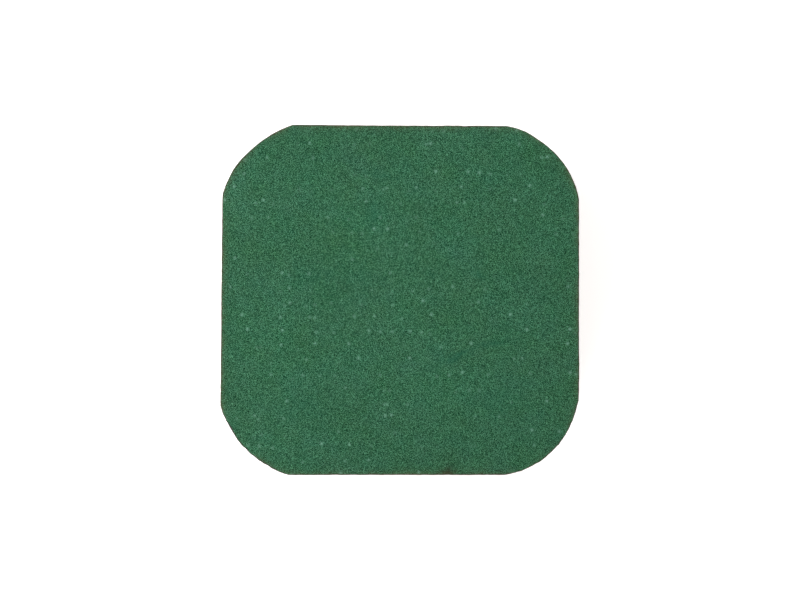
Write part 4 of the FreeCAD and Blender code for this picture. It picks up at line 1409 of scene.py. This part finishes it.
@dataclass
class PlywoodBoard(Timber):
    """The top board: sawn plies at its edge, some of them a little proud.

    Attributes:
        ply_relief_mm: How far a ply stands out from its neighbours or back from them.
        plies: Number of plies.
        glue_mm: Height of the slope from one ply to the next.
        tar_mm: How far down the edge the felt's bitumen was smeared.
        tarred: How much bitumen each vertex has.
    """

    ply_relief_mm: float = 0.28
    plies: int = PLYWOOD.plies
    glue_mm: float = 0.2
    tar_mm: float = 2.4
    tarred: list[float] = field(default_factory=list, init=False)

    def divide(self, body: bmesh.types.BMesh) -> None:
        """Cut the mesh on a square grid and at every glue line, and its rim more finely.

        Args:
            body: The board's mesh.
        """
        low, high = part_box(self.node)
        for axis, direction in enumerate((Vector((1.0, 0.0, 0.0)), Vector((0.0, 1.0, 0.0)))):
            span = high[axis] - low[axis]
            count = int(span / (self.pitch_mm[0] * MM))
            for step in range(1, count + 1):
                cut_through(body, direction, low[axis] + span * step / (count + 1))
        ply = (high.z - low.z) / self.plies
        for line in range(1, self.plies):
            for side in (-0.5, 0.5):
                level = low.z + ply * line + side * self.glue_mm * MM
                cut_through(body, Vector((0.0, 0.0, 1.0)), level)
        flat = np.array([tuple(v.co.xy) for v in body.verts])
        _, from_edge = TRIM.follow(self.node, flat)
        body.verts.index_update()
        rim = [e for e in body.edges if e.calc_length() > 2.4 * MM
               and all(from_edge[v.index] < 1.9 for v in e.verts)
               and abs(e.verts[0].co.z - e.verts[1].co.z) < LEVEL_WITHIN]
        bmesh.ops.subdivide_edges(body, edges=rim, cuts=2)

    def wear(self, body: bmesh.types.BMesh) -> list[float]:
        """Trim the edge, step its plies, note where tar lies, and then wear the arrises.

        Args:
            body: Mesh whose vertices move.

        Returns:
            How worn each vertex is, from 0 to 1.
        """
        low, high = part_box(self.node)
        ply = (high.z - low.z) / self.plies
        body.normal_update()
        half = min(high.x, high.y) * 0.6
        flat = np.array([tuple(v.co.xy) for v in body.verts])
        cut, _ = TRIM.follow(self.node, flat)
        for vertex, place in zip(body.verts, cut):
            sideways = Vector((vertex.normal.x, vertex.normal.y, 0.0))
            at_edge = sideways.length > 0.9 and max(abs(vertex.co.x), abs(vertex.co.y)) > half
            on_rim = sideways.length > 0.25 and vertex.co.xy.length > half
            tar = max(0.0, (vertex.co.z - high.z) / (self.tar_mm * MM) + 1)
            self.tarred.append(tar if on_rim else 0.0)
            vertex.co.x, vertex.co.y = place
            if at_edge:
                level = math.floor((vertex.co.z - low.z) / ply)
                spot = vertex.co / (30 * MM) + Vector((0, 0, 7.3 * level))
                step = noise.noise(spot) * self.ply_relief_mm
                vertex.co -= sideways * step * MM
        return super().wear(body)

    def mark(self, mesh: bpy.types.Mesh) -> None:
        """Store where the felt's bitumen was smeared over the upper arris."""
        store(mesh, "tar", np.clip(self.tarred, 0, 1))


@dataclass
class Boarding:
    """The twelve slats round the block.

    Attributes:
        rows: The slats of one side, from the top.
        first_seed: Seed of the first slat.
        seed_step: From one slat's seed to the next.
    """

    rows: tuple[str, ...] = ("upper", "middle", "lower")
    first_seed: int = 101
    seed_step: int = 7

    def build(self) -> list[bpy.types.Object]:
        """Build every slat, each from its own board.

        Returns:
            The slats.
        """
        names = [f"{side.value}_slat_{row}" for side in Side for row in self.rows]
        return [Timber(name, Stain.BOARDING.value, self.first_seed + self.seed_step * i).build()
                for i, name in enumerate(names)]


@dataclass
class SplayedFrame:
    """The posts and rails inside the boarding.

    Attributes:
        pitch_mm: Distance between cuts along a piece, and across it.
        first_seed: Seed of the first post.
        seed_step: From one piece's seed to the next.
    """

    pitch_mm: tuple[float, float] = (12.0, 14.0)
    first_seed: int = 301
    seed_step: int = 5

    def build(self) -> list[bpy.types.Object]:
        """Build the posts, and then the rails.

        Returns:
            The posts and the rails.
        """
        names = [f"corner_post_{corner.value}" for corner in Corner]
        names += [f"top_rail_{side.value}" for side in Side]
        return [Timber(name, Stain.FRAME.value, self.first_seed + self.seed_step * i,
                       self.pitch_mm).build()
                for i, name in enumerate(names)]


# ---------------------------------------------------------------- metal and rubber

@dataclass
class Fasteners:
    """Screws and washers, which keep the shapes of their solids.

    Attributes:
        others: The groups besides the four sides' screws.
    """

    others: tuple[str, ...] = ("top_board_screws", "foot_screws", "foot_washers")

    def dress(self) -> None:
        """Plate them all."""
        for name in (*(f"{side.value}_slat_screws" for side in Side), *self.others):
            ZINC.dress(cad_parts[name])
            LOG.info("%s: %s", name, ZINC.name)


@dataclass
class RubberFeet:
    """The four feet, which keep the shapes of their solids.

    Attributes:
        stem: What their names start with.
    """

    stem: str = "rubber_foot"

    def dress(self) -> None:
        """Make them rubber."""
        for corner in Corner:
            name = f"{self.stem}_{corner.value}"
            RUBBER.dress(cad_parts[name])
            LOG.info("%s: %s", name, RUBBER.name)


# ---------------------------------------------------------------- studio

@dataclass
class SoftPanel:
    """A large soft box near the block, whose light falls off across it.

    Attributes:
        name: Its name.
        power: Its power in watts.
        side: Length of its side.
        place: Where its middle is.
    """

    name: str
    power: float
    side: float
    place: tuple[float, float, float]

    def build(self) -> None:
        """Hang the soft box, turned to the tread."""
        data = bpy.data.lights.new(self.name, "AREA")
        data.energy = self.power
        data.size = self.side
        lamp = bpy.data.objects.new(self.name, data)
        bpy.context.scene.collection.objects.link(lamp)
        lamp.location = self.place
        towards = Vector(self.place) - Vector((0.0, 0.0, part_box("tread_felt")[1].z))
        lamp.rotation_euler = towards.to_track_quat("Z", "Y").to_euler()


@dataclass
class SoftLight:
    """A broad light that is far away.

    Attributes:
        name: Its name.
        strength: Light on a face square to it.
        azimuth: Where it stands, in degrees from the front, anticlockwise seen from above.
        elevation: How high it stands, in degrees.
        spread: Its width as seen from the block, in degrees.
    """

    name: str
    strength: float
    azimuth: float
    elevation: float
    spread: float

    def build(self) -> None:
        """Hang the light."""
        data = bpy.data.lights.new(self.name, "SUN")
        data.energy = self.strength * math.pi
        data.angle = math.radians(self.spread)
        lamp = bpy.data.objects.new(self.name, data)
        bpy.context.scene.collection.objects.link(lamp)
        turn = math.radians(self.azimuth)
        rise = math.radians(self.elevation)
        towards = Vector((math.sin(turn) * math.cos(rise), -math.cos(turn) * math.cos(rise),
                          math.sin(rise)))
        lamp.rotation_euler = towards.to_track_quat("Z", "Y").to_euler()


@dataclass
class Studio:
    """Pale floor, even soft light, and a camera straight above the tread.

    Attributes:
        lights: The lights besides the walls' own.
        horizon: Brightness of the walls at eye level.
        zenith: Brightness of the ceiling.
        floor_side: Side of the square floor.
        camera_height: Camera over the tread.
        board_share: Width of the board as a share of the view's width.
        sensor_width: Width of the camera's sensor, in millimetres.
        centre_shift: Where the camera stands from the middle of the block.
    """

    lights: tuple[SoftLight | SoftPanel, ...] = (
        SoftPanel("near_panel", 21.0, 1.2, (-1.25, 0.5, 1.3)),
        SoftLight("ceiling_panel", 0.11, 0.0, 90.0, 26.0),
        SoftLight("key_panel", 0.34, -38.0, 30.0, 24.0),
        SoftLight("back_panel", 0.18, 150.0, 26.0, 30.0),
    )
    horizon: float = 1.0
    zenith: float = 0.5
    floor_side: float = 9.0
    camera_height: float = 2.2
    board_share: float = 0.4495
    sensor_width: float = 36.0
    centre_shift: tuple[float, float] = (-0.0003, 0.0002)

    def build_walls(self) -> None:
        """Light from all round, brightest at eye level."""
        world = bpy.data.worlds.new("soft_studio")
        bpy.context.scene.world = world
        world.use_nodes = True
        tree = world.node_tree
        add = partial(add_node, tree)
        background = next(n for n in tree.nodes if n.type == "BACKGROUND")
        rise = add("SeparateXYZ", {0: add("TexCoord").outputs["Generated"]})
        level = add("MapRange", {"Value": rise.outputs["Z"], "From Min": 0.05, "From Max": 0.9,
                                 "To Min": self.horizon, "To Max": self.zenith},
                    interpolation_type="SMOOTHSTEP")
        tree.links.new(level.outputs["Result"], background.inputs["Strength"])
        background.inputs["Color"].default_value = (1.0, 1.0, 1.0, 1.0)

    def build_floor(self) -> None:
        """Lay the floor under the feet."""
        half = self.floor_side / 2
        mesh = bpy.data.meshes.new("pale_floor")
        corners = [(-half, -half, 0), (half, -half, 0), (half, half, 0), (-half, half, 0)]
        mesh.from_pydata(corners, [], [(0, 1, 2, 3)])
        mesh.materials.append(FLOOR.material())
        floor = bpy.data.objects.new("pale_floor", mesh)
        bpy.context.scene.collection.objects.link(floor)

    def build_camera(self) -> None:
        """Set the camera straight above the tread, with the back of the block up."""
        low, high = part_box("top_board")
        width = high.x - low.x
        data = bpy.data.cameras.new("camera")
        data.sensor_width = self.sensor_width
        data.lens = data.sensor_width * self.camera_height * self.board_share / width
        camera = bpy.data.objects.new("camera", data)
        bpy.context.scene.collection.objects.link(camera)
        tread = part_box("tread_felt")[1].z
        camera.location = (self.centre_shift[0], self.centre_shift[1],
                           tread + self.camera_height)
        bpy.context.scene.camera = camera

    def build(self) -> None:
        """Build the whole studio."""
        self.build_walls()
        self.build_floor()
        for light in self.lights:
            light.build()
        self.build_camera()
        bpy.context.scene.view_settings.view_transform = "Standard"


# ---------------------------------------------------------------- the whole block

def clear_factory_scene() -> None:
    """Remove the objects that Blender starts with."""
    for name in ("Cube", "Light", "Camera"):
        found = bpy.data.objects.get(name)
        if found:
            bpy.data.objects.remove(found)


def report(pieces: Sequence[bpy.types.Object]) -> None:
    """Log each piece with its size in faces and its finish.

    Args:
        pieces: The pieces of one sub-assembly.
    """
    for piece in pieces:
        mesh = piece.data
        LOG.info("%s: %d faces, %s", piece.name, len(mesh.polygons), mesh.materials[0].name)


def main() -> None:
    """Build and dress the block, and then the studio round it."""
    logging.basicConfig(level=logging.INFO, format="%(name)s: %(message)s")
    clear_factory_scene()
    report([Tread().build()])
    report([PlywoodBoard("top_board", PLYWOOD, seed=401, pitch_mm=(6.0, 6.0),
                         wear_mm=0.5).build()])
    report(Boarding().build())
    report(SplayedFrame().build())
    Fasteners().dress()
    RubberFeet().dress()
    Studio().build()


if __name__ == "__main__":
    main()
